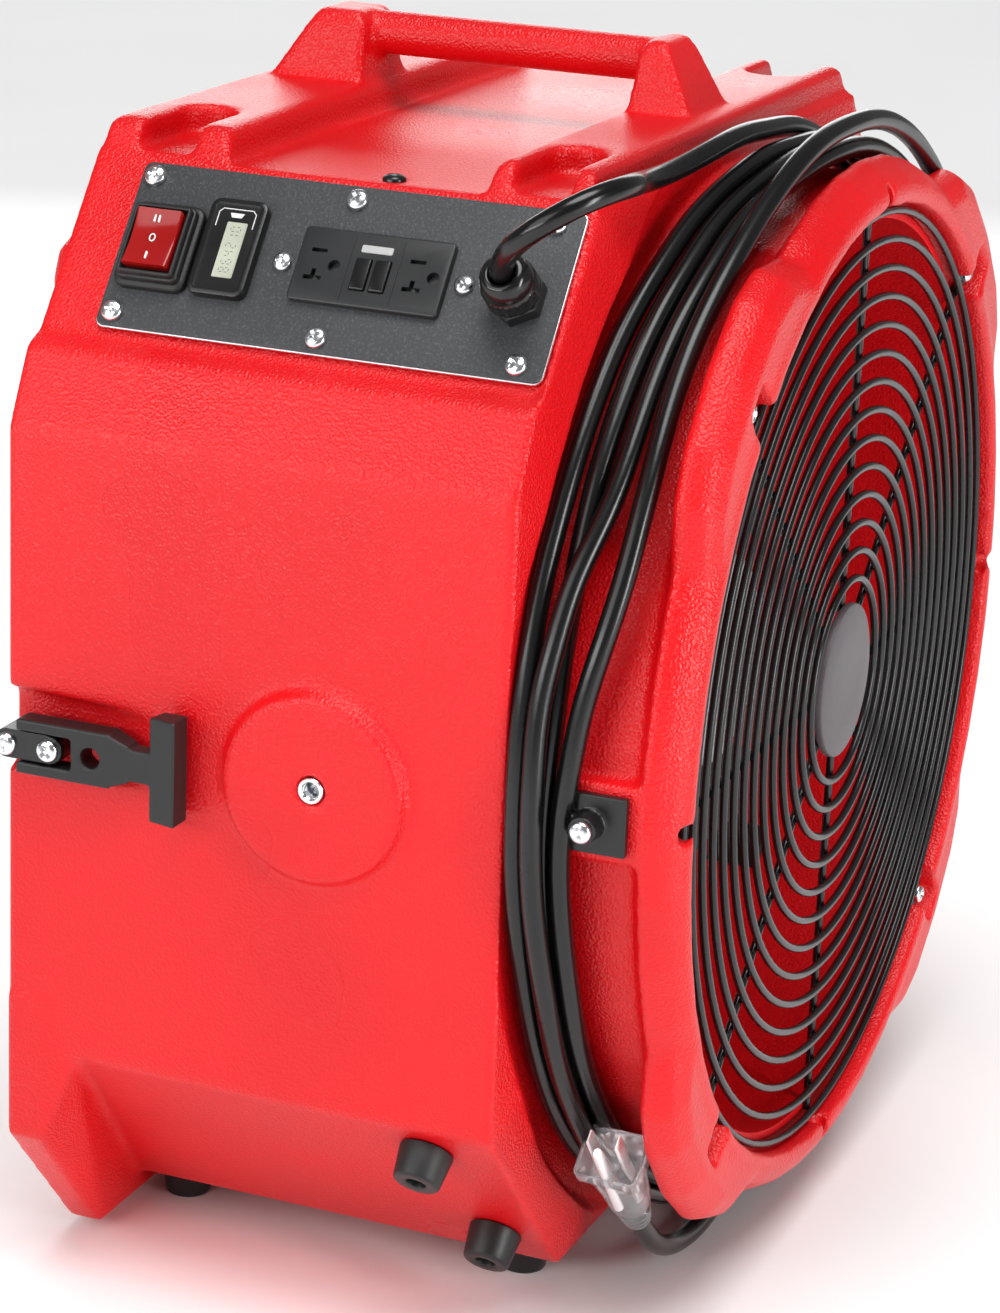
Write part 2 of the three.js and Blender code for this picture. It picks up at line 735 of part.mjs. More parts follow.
const button = (du) =>
  plate(6.8, 14, 0.5, GFCI.u + du, GFCI.v - 2.4, 0.2, FACE + 4.4, 1);
add("test_button", button(BUTTON_U[0]), PLASTIC_BLACK);
add("reset_button", button(BUTTON_U[1]), PLASTIC_BLACK);

// Rocker switch in a stepped rubber boot.
let boot = plate(ROCKER.w + 6, ROCKER.h + 6, 4, ROCKER.u, ROCKER.v, FACE + GAP, FACE + 4);
boot = boot.add(plate(ROCKER.w + 3, ROCKER.h + 3, 4, ROCKER.u, ROCKER.v, FACE + 3.5, FACE + 10));
boot = boot.add(plate(22, 30, 2, ROCKER.u, ROCKER.v, -22, FACE + 2, 1));
boot = boot.subtract(plate(ROCKER.w - 1.5, ROCKER.h - 1.5, 3, ROCKER.u, ROCKER.v, FACE + 3.6, 30));
add("switch_boot", boot, RUBBER);
const rocker = plate(ROCKER.w - 3.5, ROCKER.h - 7, 3, ROCKER.u, ROCKER.v, FACE + 6.2, FACE + 13.4);
add("rocker", rocker, SWITCH_RED);

// Hour meter.
let meter = plate(METER.w, METER.h, 4, METER.u, METER.v, FACE + GAP, FACE + 4.6);
meter = meter.add(plate(21, 39, 2, METER.u, METER.v, -20, FACE + 1, 1));
meter = meter.subtract(plate(9.6, 25.6, 0.6, METER.u + 1, METER.v - 1, FACE + 2.6, 20, 1));
add("hour_meter", meter, PLASTIC_BLACK);
add("meter_window", plate(9, 25, 0.5, METER.u + 1, METER.v - 1, FACE + 2.9, FACE + 4.2, 1), LCD);

// Cord gland: hexagonal body and dome nut.
const gl = (w) => onPanel(GLAND.u, GLAND.v, w);
const BORE = CORD_D / 2 + GAP;
const gland = turnedOn(
  [[BORE, -12], [8, -12], [8, FACE + 1.5], [8.6, FACE + 1.5], [8.6, FACE + 11], [BORE, FACE + 11]],
  gl(0),
  w3,
  16,
).add(pin(GLAND.u, GLAND.v, FACE + GAP, FACE + 7, 12.5, 12.5, 6).subtract(pin(GLAND.u, GLAND.v, 0, 20, 8.3, 8.3, 16)));
add("gland_body", gland, PLASTIC_BLACK);
add(
  "gland_nut",
  turnedOn(
    [
      [9, FACE + 7.4], [11.6, FACE + 7.4], [11.6, FACE + 17], [10.4, FACE + 22],
      [7.6, FACE + 25], [BORE, FACE + 25], [BORE, FACE + 12], [9, FACE + 12],
    ],
    gl(0),
    w3,
    18,
  ),
  PLASTIC_BLACK,
);

// Run capacitor on the housing floor of the compartment, behind the panel.
add("run_capacitor", rod([-120, 205, 226], [-120, 262, 226], 6, 6, 16), CAP_GREY);

// Deck screw.
add(
  "deck_screw",
  union(
    rod([DECK_SCREW[0], DECK_SCREW[1], DECK_Z - 1.3], [DECK_SCREW[0], DECK_SCREW[1], DECK_Z + 0.6], 4.8, 4.2, 14),
    rod([DECK_SCREW[0], DECK_SCREW[1], DECK_Z - 10], [DECK_SCREW[0], DECK_SCREW[1], DECK_Z - 1], 1.9, 1.9, 8),
  ),
  WIRE_BLACK,
);

// ---------------------------------------------------------------- side parts
for (const s of [-1, 1]) {
  const side = s < 0 ? "left" : "right";
  const x = (d) => s * (HALF + d); // d is out from the side face
  const bx = (d0, d1) => [Math.min(x(d0), x(d1)), Math.max(x(d0), x(d1))];

  // Threaded insert in the boss.
  add(
    `threaded_insert_${side}`,
    rod([x(-13), BOSS_Y, 0], [x(5.7), BOSS_Y, 0], 5.8, 5.8, 16)
      .subtract(rod([x(-30), BOSS_Y, 0], [x(20), BOSS_Y, 0], 3.6, 3.6, 12)),
    ZINC,
  );

  // Latch bracket: a bar standing in the pocket, held by two screws.
  const ends = [LATCH_Y + 10, LATCH_Y - 10];
  let bracket = box(...bx(-7.6, 13), ends[1], ends[0], -6.5, 6.5);
  for (const y of ends) bracket = bracket.add(rod([x(-7.6), y, 0], [x(13), y, 0], 6.5, 6.5, 14));
  bracket = bracket.subtract(rod([x(7), LATCH_Y, -20], [x(7), LATCH_Y, 20], 2.8, 2.8, 10));
  for (const y of ends) bracket = bracket.subtract(rod([x(-12), y, 0], [x(20), y, 0], 2.2, 2.2, 8));
  add(`latch_bracket_${side}`, bracket, PLASTIC_BLACK);
  ends.forEach((y, i) => {
    add(`latch_screw_${side}_${i + 1}`, screw([x(13), y, 0], [s, 0, 0], 4.8, 1.9, 19), ZINC);
  });

  // Draw strap: fork round the bracket, neck with an eye, T grip.
  const px = x(7);
  let strap = union(
    rod([px, LATCH_Y, -12], [px, LATCH_Y, 12], 2.4, 2.4, 10),
    [-1, 1].map((k) => box(...bx(2.5, 14), 240, LATCH_Y + 5, k > 0 ? 7 : -12, k > 0 ? 12 : -7)),
    box(...bx(2.5, 14), 238, 256, -12, 12),
    hull([
      [x(2.5), 240, -12], [x(2.5), 240, 12], [x(14), 240, -12], [x(14), 240, 12],
      [x(4), 229, -8], [x(4), 229, 8], [x(14), 229, -8], [x(14), 229, 8],
    ]),
    box(...bx(5, 14), 210, 232, -7, 7),
    hull([
      [x(4), 206, -23], [x(4), 206, 23], [x(17), 206, -23], [x(17), 206, 23],
      [x(4), 217, -23], [x(4), 217, 23], [x(14), 219, -23], [x(14), 219, 23],
    ]),
  );
  strap = strap.subtract(rod([x(-2), 247, 0], [x(20), 247, 0], 4.6, 4.6, 14));
  add(`latch_strap_${side}`, strap, RUBBER);

  // Keeper on the drum for the next machine's strap.
  const kx = s * (KEEP.x + GAP);
  const out = (d) => s * (KEEP.x + GAP + d);
  const kb = (d0, d1) => [Math.min(out(d0), out(d1)), Math.max(out(d0), out(d1))];
  const keepMid = (KEEP.z0 + KEEP.z1) / 2;
  let keeper = box(...kb(0, 4), KEEP.y0 + 1, KEEP.y1, KEEP.z0, KEEP.z1);
  keeper = keeper.add(rod([kx, 30, keepMid], [out(14), 30, keepMid], 6.5, 6, 16));
  keeper = keeper.add(box(...kb(0, 9), 30, KEEP.y1 - 3, keepMid - 5, keepMid + 5));
  keeper = keeper.subtract(rod([out(-5), 30, keepMid], [out(30), 30, keepMid], 2.2, 2.2, 8));
  add(`keeper_${side}`, keeper, PLASTIC_BLACK);
  add(
    `keeper_screw_${side}`,
    screw([out(14), 30, keepMid], [s, 0, 0], 4.6, 1.9, 14 - 1),
    ZINC,
  );
}

// ---------------------------------------------------------------- cord
// From the gland over the shoulder of the body to the winding.
const mouth = gl(FACE + 25.4);
add(
  "cord_lead",
  tube(
    [
      mouth,
      onPanel(GLAND.u, GLAND.v, FACE + 32),
      [-233.4, 81.6, 228.4],
      [-241.2, 70.8, 237],
      [-241.2, 58.3, 246.9],
      [-232.4, 45.8, 254.4],
      [-214, 38.5, 256.6],
      [-188.5, 42.5, 253.6],
      [-159, 54.4, 247.5],
      [-132, 57.5, 244.5],
      [-106, 54.6, 245.6],
      [-77, 49.7, 250],
      [-47, 47.5, 252],
      [-20, 46.7, 250],
    ],
    CORD_D / 2,
    22,
  ),
  PLASTIC_BLACK,
);
add(
  "cord_winding",
  turned([[DRUM_R + 0.4, 15.5], [DRUM_R + 9.9, 15.5], [DRUM_R + 9.9, 50.2], [DRUM_R + 0.4, 50.2]], 48)
    .subtract(box(200, 260, 5, 42.5, -20, 26))
    .subtract(box(-260, -200, 5, 42.5, -20, 26)),
  PLASTIC_BLACK,
);
add(
  "cord_tail",
  tube(
    [
      [24, 32, -245],
      [-25, 31.5, -248.5],
      [-80, 30.5, -249.3],
      [-104, 30.5, -244.5],
      [-123, 30.5, -237],
      [-140, 30.7, -224.5],
      [-152.4, 31, -210.7],
    ],
    CORD_D / 2,
    14,
  ),
  PLASTIC_BLACK,
);
const plugFrom = new THREE.Vector3(-153, 31, -210);
const plugTo = new THREE.Vector3(-219.9, 26.7, -136.1);
const plugAt = (k) => plugFrom.clone().lerp(plugTo, k).toArray();
add(
  "plug",
  union(
    rod(plugAt(0.01), plugAt(0.3), 7, 9.5, 12),
    rod(plugAt(0.28), plugAt(0.68), 11, 14.5, 16),
    rod(plugAt(0.66), plugAt(0.94), 3.4, 3.2, 8),
  ),
  CLEAR,
);

export default group;
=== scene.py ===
"""Looks of a commercial axial air mover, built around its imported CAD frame.

Lengths are in millimetres from the fan axis and the outlet guard plane until
they are turned into the part's frame by AXIS, and in metres after that.
"""

import math

import bmesh
import bpy
import numpy as np
from mathutils import Matrix, Vector


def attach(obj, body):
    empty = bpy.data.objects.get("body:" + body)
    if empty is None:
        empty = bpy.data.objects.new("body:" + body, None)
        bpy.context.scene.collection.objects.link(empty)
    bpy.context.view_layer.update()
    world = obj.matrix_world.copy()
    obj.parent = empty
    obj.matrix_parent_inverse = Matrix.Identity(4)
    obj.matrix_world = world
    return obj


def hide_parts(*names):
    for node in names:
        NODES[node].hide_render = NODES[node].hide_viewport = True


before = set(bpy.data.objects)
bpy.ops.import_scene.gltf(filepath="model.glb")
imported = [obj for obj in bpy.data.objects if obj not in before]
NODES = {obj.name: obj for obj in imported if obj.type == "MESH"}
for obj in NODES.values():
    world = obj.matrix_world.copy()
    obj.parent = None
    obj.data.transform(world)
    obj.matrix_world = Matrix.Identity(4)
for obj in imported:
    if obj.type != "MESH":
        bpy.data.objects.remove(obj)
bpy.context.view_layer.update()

# ------------------------------------------------------------------ frames and sizes
def linked(name, data):
    obj = bpy.data.objects.new(name, data)
    bpy.context.scene.collection.objects.link(obj)
    return obj


def placed(x, y, z, at):
    """The matrix that turns the three axes to x, y and z, and moves 0 to at."""
    matrix = Matrix((x, y, z)).transposed().to_4x4()
    matrix.translation = at
    return matrix


MM = 0.001
AXIS = Matrix.Translation((0, -0.150, 0.256)) @ Matrix.Scale(MM, 4)
HALF = 246  # half the body's width
BODY_Y1 = 294  # its inlet face
RING_FIRST = 46.9
RING_PITCH = 12.84
RINGS = 14
SCREW_CIRCLE = 226
LUG_ANGLES = (45, 135, 225, 315)
SIDES = ((-1, "left"), (1, "right"))

# The panel frame: u towards the outlet, v up its slope, w outwards.
PANEL_U = Vector((0, -1, 0))
PANEL_V = Vector((0.599, 0, 0.8008))
PANEL_W = Vector((-0.8008, 0, 0.599))
PANEL_AT = Vector((-196, 167.5, 204.75))
PANEL = AXIS @ placed(PANEL_U, PANEL_V, PANEL_W, PANEL_AT)
FACE = 2.3  # the plate's outside, in w
PANEL_SCREWS = [(u, v) for v in (31.5, -31.5) for u in (-93, 0, 88)]
ROCKER = (-80, -1)
METER = (-49, 2)
GFCI = (16, 0)
GFCI_SCREWS = (GFCI[0] - 40.5, GFCI[0] + 40.5)
OUTLET_STEP = 22
BUTTON_U = (-3.8, 4.8)
BUTTON_V = -2.4
GLAND = (81, -3)

CORD_D = 9.5


# ------------------------------------------------------------------ camera
LENS = 136.4
CAMERA_AT = (-1.580, -0.616, 0.7875)
AZIMUTH = math.radians(-68.12)
ELEVATION = math.radians(17.82)
ROLL = math.radians(2.365)


def make_camera():
    data = bpy.data.cameras.new("camera")
    data.lens = LENS
    data.sensor_width = 36
    data.sensor_fit = "HORIZONTAL"
    cam = linked("camera", data)
    level = math.cos(ELEVATION)
    back = Vector(
        (math.sin(AZIMUTH) * level, -math.cos(AZIMUTH) * level, math.sin(ELEVATION))
    )
    right = Vector((math.cos(AZIMUTH), math.sin(AZIMUTH), 0))
    up = back.cross(right)
    x = math.cos(ROLL) * right + math.sin(ROLL) * up
    y = -math.sin(ROLL) * right + math.cos(ROLL) * up
    cam.matrix_world = placed(x, y, back, CAMERA_AT)
    bpy.context.scene.camera = cam


make_camera()


# ------------------------------------------------------------------ materials
def principled(name, color, roughness, metallic=0.0):
    mat = bpy.data.materials.new(name)
    mat.use_nodes = True
    shader = mat.node_tree.nodes["Principled BSDF"]
    shader.inputs["Base Color"].default_value = (*color, 1)
    shader.inputs["Roughness"].default_value = roughness
    shader.inputs["Metallic"].default_value = metallic
    return mat, mat.node_tree, shader


def noise(tree, scale, detail=3.0, rough=0.5):
    coords = tree.nodes.new("ShaderNodeTexCoord")
    tex = tree.nodes.new("ShaderNodeTexNoise")
    tex.inputs["Scale"].default_value = scale
    tex.inputs["Detail"].default_value = detail
    tex.inputs["Roughness"].default_value = rough
    tree.links.new(coords.outputs["Object"], tex.inputs["Vector"])
    return tex


def ramp(tree, source, stops):
    node = tree.nodes.new("ShaderNodeValToRGB")
    elements = node.color_ramp.elements
    while len(elements) > len(stops):
        elements.remove(elements[-1])
    while len(elements) < len(stops):
        elements.new(0.5)
    for element, (place, color) in zip(elements, stops):
        element.position = place
        element.color = (*color, 1) if len(color) == 3 else color
    tree.links.new(source, node.inputs["Fac"])
    return node


def spread(tree, source, low, high, lo_in=0.3, hi_in=0.7):
    node = tree.nodes.new("ShaderNodeMapRange")
    node.inputs["From Min"].default_value = lo_in
    node.inputs["From Max"].default_value = hi_in
    node.inputs["To Min"].default_value = low
    node.inputs["To Max"].default_value = high
    tree.links.new(source, node.inputs["Value"])
    return node


def bump(tree, shader, height, strength, distance, base=None):
    node = tree.nodes.new("ShaderNodeBump")
    node.inputs["Strength"].default_value = strength
    node.inputs["Distance"].default_value = distance
    tree.links.new(height, node.inputs["Height"])
    if base is not None:
        tree.links.new(base.outputs["Normal"], node.inputs["Normal"])
    tree.links.new(node.outputs["Normal"], shader.inputs["Normal"])
    return node


def moulded(name, dark, light, rough, grain, strength, distance, shade=18.0):
    """Plastic, rubber or paint: mottled colour, uneven gloss and a moulded grain."""
    mat, tree, shader = principled(name, light, rough[0])
    slow = noise(tree, shade, 2.0)
    tint = ramp(tree, slow.outputs["Fac"], [(0.3, dark), (0.7, light)])
    tree.links.new(tint.outputs["Color"], shader.inputs["Base Color"])
    fine = noise(tree, grain, 2.0, 0.55)
    gloss = spread(tree, slow.outputs["Fac"], rough[0], rough[1])
    tree.links.new(gloss.outputs["Result"], shader.inputs["Roughness"])
    bump(tree, shader, fine.outputs["Fac"], strength, distance)
    return mat


PART_LINE_Y = -0.1375  # metres, in the part's frame
PART_LINE_WIDTH = 0.0008


def leather_red(name, dark, light, rough, specular=0.5):
    """The rotational moulding's fine leather grain, with the part line near the rim."""
    mat, tree, shader = principled(name, light, rough)
    shader.inputs["Specular IOR Level"].default_value = specular
    slow = noise(tree, 9.0, 2.0)
    tint = ramp(tree, slow.outputs["Fac"], [(0.3, dark), (0.72, light)])
    tree.links.new(tint.outputs["Color"], shader.inputs["Base Color"])
    gloss = spread(tree, slow.outputs["Fac"], rough - 0.05, rough + 0.07)
    tree.links.new(gloss.outputs["Result"], shader.inputs["Roughness"])
    cells = tree.nodes.new("ShaderNodeTexVoronoi")
    cells.inputs["Scale"].default_value = 780
    coords = tree.nodes.new("ShaderNodeTexCoord")
    tree.links.new(coords.outputs["Object"], cells.inputs["Vector"])
    grain = bump(tree, shader, cells.outputs["Distance"], 0.55, 0.0006)
    fine = noise(tree, 1300.0, 2.0, 0.6)
    second = bump(tree, shader, fine.outputs["Fac"], 0.25, 0.0004, grain)
    split = tree.nodes.new("ShaderNodeSeparateXYZ")
    tree.links.new(coords.outputs["Object"], split.inputs["Vector"])
    line = tree.nodes.new("ShaderNodeMath")
    line.operation = "COMPARE"
    line.inputs[1].default_value = PART_LINE_Y
    line.inputs[2].default_value = PART_LINE_WIDTH / 2
    tree.links.new(split.outputs["Y"], line.inputs[0])
    bump(tree, shader, line.outputs["Value"], 0.5, 0.0008, second)
    return mat


def metal(name, color, rough, scratch=240.0, strength=0.08):
    mat, tree, shader = principled(name, color, rough, 1.0)
    tex = noise(tree, scratch, 4.0, 0.6)
    gloss = spread(tree, tex.outputs["Fac"], rough - 0.08, rough + 0.12)
    tree.links.new(gloss.outputs["Result"], shader.inputs["Roughness"])
    bump(tree, shader, tex.outputs["Fac"], strength, 0.0002)
    return mat


def speckled(name, base, fleck, rough, grain=900.0):
    """Textured powder coat with small brighter flecks."""
    mat, tree, shader = principled(name, base, rough)
    tex = noise(tree, grain, 2.0, 0.7)
    tint = ramp(tree, tex.outputs["Fac"], [(0.52, base), (0.74, fleck)])
    tree.links.new(tint.outputs["Color"], shader.inputs["Base Color"])
    cloud = noise(tree, 14.0, 2.0)
    gloss = spread(tree, cloud.outputs["Fac"], rough - 0.06, rough + 0.08)
    tree.links.new(gloss.outputs["Result"], shader.inputs["Roughness"])
    bump(tree, shader, tex.outputs["Fac"], 0.5, 0.0003)
    return mat


def clear_plastic(name, color, rough):
    mat, tree, shader = principled(name, color, rough)
    shader.inputs["Transmission Weight"].default_value = 0.85
    shader.inputs["IOR"].default_value = 1.45
    tex = noise(tree, 120.0, 2.0)
    gloss = spread(tree, tex.outputs["Fac"], rough, rough + 0.12)
    tree.links.new(gloss.outputs["Result"], shader.inputs["Roughness"])
    bump(tree, shader, tex.outputs["Fac"], 0.06, 0.0005)
    return mat


RED = leather_red("red_grain", (0.66, 0.003, 0.006), (0.76, 0.005, 0.009), 0.3, 0.42)
# Painted light: the duct's red is a lighter copy of the shell's red, standing in for light that
# barely reaches the inside of the duct.
DUCT_PAINTED_LIGHT = leather_red("duct_grain_painted_light", (0.8, 0.002, 0.006), (0.88, 0.004, 0.009), 0.5, 0.25)
WIRE = moulded(
    "guard_coat", (0.006, 0.0064, 0.007), (0.011, 0.0116, 0.013), (0.2, 0.28), 700, 0.08, 0.0002
)
DISC = speckled("hub_disc_coat", (0.09, 0.079, 0.086), (0.12, 0.105, 0.115), 0.42, 1400.0)
PLATE = speckled("panel_coat", (0.034, 0.035, 0.038), (0.085, 0.088, 0.092), 0.46)
EDGE = metal("bare_edge", (0.78, 0.78, 0.8), 0.3)
ZINC = metal("zinc", (0.82, 0.83, 0.85), 0.2, 120.0, 0.02)
STEEL = metal("steel", (0.5, 0.52, 0.55), 0.32)
NICKEL = metal("nickel", (0.93, 0.93, 0.93), 0.42)
PLASTIC = moulded(
    "black_plastic", (0.006, 0.006, 0.0065), (0.011, 0.011, 0.012), (0.26, 0.38), 900, 0.12, 0.0002
)
GLOSSY = moulded(
    "black_glossy", (0.005, 0.005, 0.0055), (0.009, 0.009, 0.01), (0.14, 0.22), 500, 0.05, 0.0002
)
RUBBER = moulded(
    "black_rubber", (0.007, 0.007, 0.007), (0.013, 0.013, 0.014), (0.38, 0.54), 1100, 0.25, 0.0003
)
JACKET = moulded(
    "cord_jacket", (0.0025, 0.0025, 0.0027), (0.004, 0.004, 0.0044), (0.2, 0.3), 420, 0.08, 0.0003
)
MOTOR = moulded(
    "motor_enamel", (0.012, 0.012, 0.013), (0.022, 0.022, 0.024), (0.3, 0.45), 500, 0.2, 0.0004
)
BELL = moulded(
    "bell_paint", (0.72, 0.73, 0.74), (0.85, 0.86, 0.87), (0.35, 0.45), 300, 0.12, 0.0003
)
FACEPLATE = moulded(
    "device_face", (0.014, 0.0145, 0.0155), (0.022, 0.0225, 0.024), (0.3, 0.4), 900, 0.12, 0.0002
)
CAN = metal("capacitor_can", (0.62, 0.63, 0.65), 0.35)
SWITCH = moulded(
    "switch_red", (0.27, 0.005, 0.005), (0.36, 0.009, 0.008), (0.1, 0.16), 300, 0.04, 0.0002
)
WHITE = moulded("mark_white", (0.75, 0.75, 0.74), (0.85, 0.85, 0.84), (0.4, 0.5), 800, 0.05, 0.0001)
LCD = moulded(
    "lcd_face", (0.42, 0.45, 0.36), (0.52, 0.55, 0.45), (0.1, 0.16), 200, 0.02, 0.0001, 60.0
)
INK = moulded("lcd_ink", (0.03, 0.035, 0.03), (0.05, 0.055, 0.05), (0.3, 0.4), 400, 0.02, 0.0001)
LABEL = moulded("label_grey", (0.4, 0.4, 0.39), (0.5, 0.5, 0.49), (0.35, 0.45), 500, 0.05, 0.0001)
CLEAR = clear_plastic("plug_clear", (0.86, 0.88, 0.9), 0.1)


# ------------------------------------------------------------------ pieces
def mesh_of(name, bm):
    data = bpy.data.meshes.new(name)
    bm.to_mesh(data)
    bm.free()
    return data


def merge(bm, other):
    """Adds a second bmesh's faces to the first."""
    data = mesh_of("joined", other)
    bm.from_mesh(data)
    bpy.data.meshes.remove(data)


def piece(name, data, body, mat, nodes=()):
    obj = linked(name, data)
    data.materials.append(mat)
    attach(obj, body)
    if nodes:
        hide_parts(*nodes)
    return obj


def finish_mesh(name, bm, matrix=AXIS, flat=35):
    """The welded mesh in the part's frame, smooth but for edges over flat degrees."""
    bmesh.ops.remove_doubles(bm, verts=bm.verts, dist=1e-4)
    bmesh.ops.recalc_face_normals(bm, faces=bm.faces)
    bm.transform(matrix)
    data = mesh_of(name, bm)
    for polygon in data.polygons:
        polygon.use_smooth = True
    data.set_sharp_from_angle(angle=math.radians(flat))
    return data


def solid(name, bm, body, mat, nodes=()):
    return piece(name, finish_mesh(name, bm), body, mat, nodes)


def fitted(name, bm, mat, nodes=(), body="base", flat=35):
    """A piece drawn in the panel frame."""
    return piece(name, finish_mesh(name, bm, PANEL, flat), body, mat, nodes)


def bridge(bm, loops):
    """A closed form through loops of points, with a cap at each end."""
    rings = [[bm.verts.new(p) for p in loop] for loop in loops]
    for a, b in zip(rings, rings[1:]):
        for i in range(len(a)):
            j = (i + 1) % len(a)
            bm.faces.new((a[i], a[j], b[j], b[i]))
    bm.faces.new(rings[0][::-1])
    bm.faces.new(rings[-1])


def outline(w, h, r, steps=5):
    r = max(0.05, min(r, w / 2, h / 2))
    points = []
    for q, (sx, sy) in enumerate(((1, 1), (-1, 1), (-1, -1), (1, -1))):
        for i in range(steps + 1):
            t = math.pi / 2 * (q + i / steps)
            points.append(
                (sx * (w / 2 - r) + r * math.cos(t), sy * (h / 2 - r) + r * math.sin(t))
            )
    return points


def stack(bm, w, h, r, at, levels, steps=5):
    """Rounded rectangles, one per (height, inset), joined into one closed form."""
    loops = []
    for z, inset in levels:
        shape = outline(w - 2 * inset, h - 2 * inset, r - inset, steps)
        loops.append([(at[0] + x, at[1] + y, z) for x, y in shape])
    bridge(bm, loops)


def rounded_levels(z0, z1, edge, turns=3):
    levels = [(z0, 0), (z1 - edge, 0)]
    for i in range(1, turns + 1):
        t = math.pi / 2 * i / turns
        levels.append((z1 - edge + edge * math.sin(t), edge * (1 - math.cos(t))))
    return levels


def slab(bm, w, h, r, at, z0, z1, edge=0.5):
    stack(bm, w, h, r, at, rounded_levels(z0, z1, edge))


def lathe(bm, profile, at=(0, 0, 0), axis=(0, 1, 0), segments=48, lobes=0, depth=0.0):
    """Turns [radius, distance] pairs about an axis; lobes cut grips round the rim."""
    turn = Vector((0, 0, 1)).rotation_difference(Vector(axis).normalized())
    loops = []
    for entry in profile:
        r, d = entry[0], entry[1]
        cut = depth if len(entry) > 2 else 0
        loop = []
        for t in around(segments):
            k = r - cut * (0.5 + 0.5 * math.cos(lobes * t)) if cut else r
            loop.append(turn @ Vector((k * math.cos(t), k * math.sin(t), d)) + Vector(at))
        loops.append(loop)
    bridge(bm, loops)


def wires(name, paths, radius, mat, body, nodes=(), sides=3, matrix=AXIS):
    """A curve piece: each path is (points, closed)."""
    curve = bpy.data.curves.new(name, "CURVE")
    curve.dimensions = "3D"
    curve.bevel_depth = radius * MM
    curve.bevel_resolution = sides
    curve.use_fill_caps = True
    for points, closed in paths:
        spline = curve.splines.new("POLY")
        spline.points.add(len(points) - 1)
        for target, p in zip(spline.points, points):
            target.co = (*(matrix @ Vector(p)), 1)
        spline.use_cyclic_u = closed
        spline.use_smooth = True
    return piece(name, curve, body, mat, nodes)


def around(count):
    return [2 * math.pi * i / count for i in range(count)]


def circle(r, y):
    return [(r * math.cos(t), y, r * math.sin(t)) for t in around(96)]


def polar(degrees, r, y):
    t = math.radians(degrees)
    return Vector((r * math.cos(t), y, r * math.sin(t)))


def copied(node):
    """A welded copy of a CAD node's mesh, in the part's frame."""
    bm = bmesh.new()
    bm.from_mesh(NODES[node].data)
    bmesh.ops.remove_doubles(bm, verts=bm.verts, dist=1e-6)
    return bm


def baked(obj):
    """The object's mesh with its modifiers applied."""
    graph = bpy.context.evaluated_depsgraph_get()
    data = bpy.data.meshes.new_from_object(obj.evaluated_get(graph))
    obj.modifiers.clear()
    obj.data = data
    return data


def smoothed(obj, passes):
    smooth = obj.modifiers.new("smooth", "SMOOTH")
    smooth.factor = 0.5
    smooth.iterations = passes
    return baked(obj)


def carved(body, tool):
    """The body's mesh with the tool's shape taken out; both objects are used up."""
    bpy.context.view_layer.update()
    cut = body.modifiers.new("cut", "BOOLEAN")
    cut.operation = "DIFFERENCE"
    cut.solver = "EXACT"
    cut.use_self = True
    cut.object = tool
    data = baked(body)
    bpy.data.objects.remove(body)
    bpy.data.objects.remove(tool)
    return data


def softened(name, bm, voxel, passes, mat, body, nodes):
    """Moulded look: the welded solids remeshed and smoothed, in metres."""
    obj = linked(name, mesh_of(name, bm))
    remesh = obj.modifiers.new("remesh", "REMESH")
    remesh.mode = "VOXEL"
    remesh.voxel_size = voxel * MM
    data = smoothed(obj, passes)
    for polygon in data.polygons:
        polygon.use_smooth = True
    data.materials.clear()
    data.materials.append(mat)
    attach(obj, body)
    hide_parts(*nodes)
    return obj


# ------------------------------------------------------------------ cord
def on_panel(u, v, w):
    return PANEL_AT + PANEL_U * u + PANEL_V * v + PANEL_W * w


# The lead leaves the dome nut, bends over the shoulder and joins the drum.
LEAD = [
    on_panel(*GLAND, FACE + 16),
    on_panel(*GLAND, FACE + 21),
    on_panel(*GLAND, FACE + 26),
    Vector((-227.5, 84.3, 224.4)),
    Vector((-235, 80.2, 230)),
    Vector((-241.2, 70.8, 237)),
    Vector((-241.2, 58.3, 246.9)),
    Vector((-232.4, 45.8, 254.4)),
    Vector((-214, 38.5, 256.6)),
    Vector((-188.5, 42.5, 253.6)),
    Vector((-159, 54.4, 247.5)),
    Vector((-132, 57.5, 244.5)),
    Vector((-106, 54.6, 245.6)),
    Vector((-77, 49.7, 250)),
    Vector((-47, 47.5, 252)),
    Vector((-20, 46.7, 250)),
    Vector((20, 46.7, 246)),
    Vector((62, 47, 233.5)),
]
# The tail leaves the bundle at the bottom and ends in the plug.
TAIL = [
    Vector((24, 31.8, -245.2)),
    Vector((-25, 31.5, -248.6)),
    Vector((-55, 31, -249.8)),
    Vector((-80, 30.5, -249.3)),
    Vector((-104, 30.5, -244.5)),
    Vector((-123, 30.5, -237)),
    Vector((-140, 30.7, -224.5)),
    Vector((-149, 30.9, -214.6)),
    Vector((-157, 30.7, -205.7)),
]
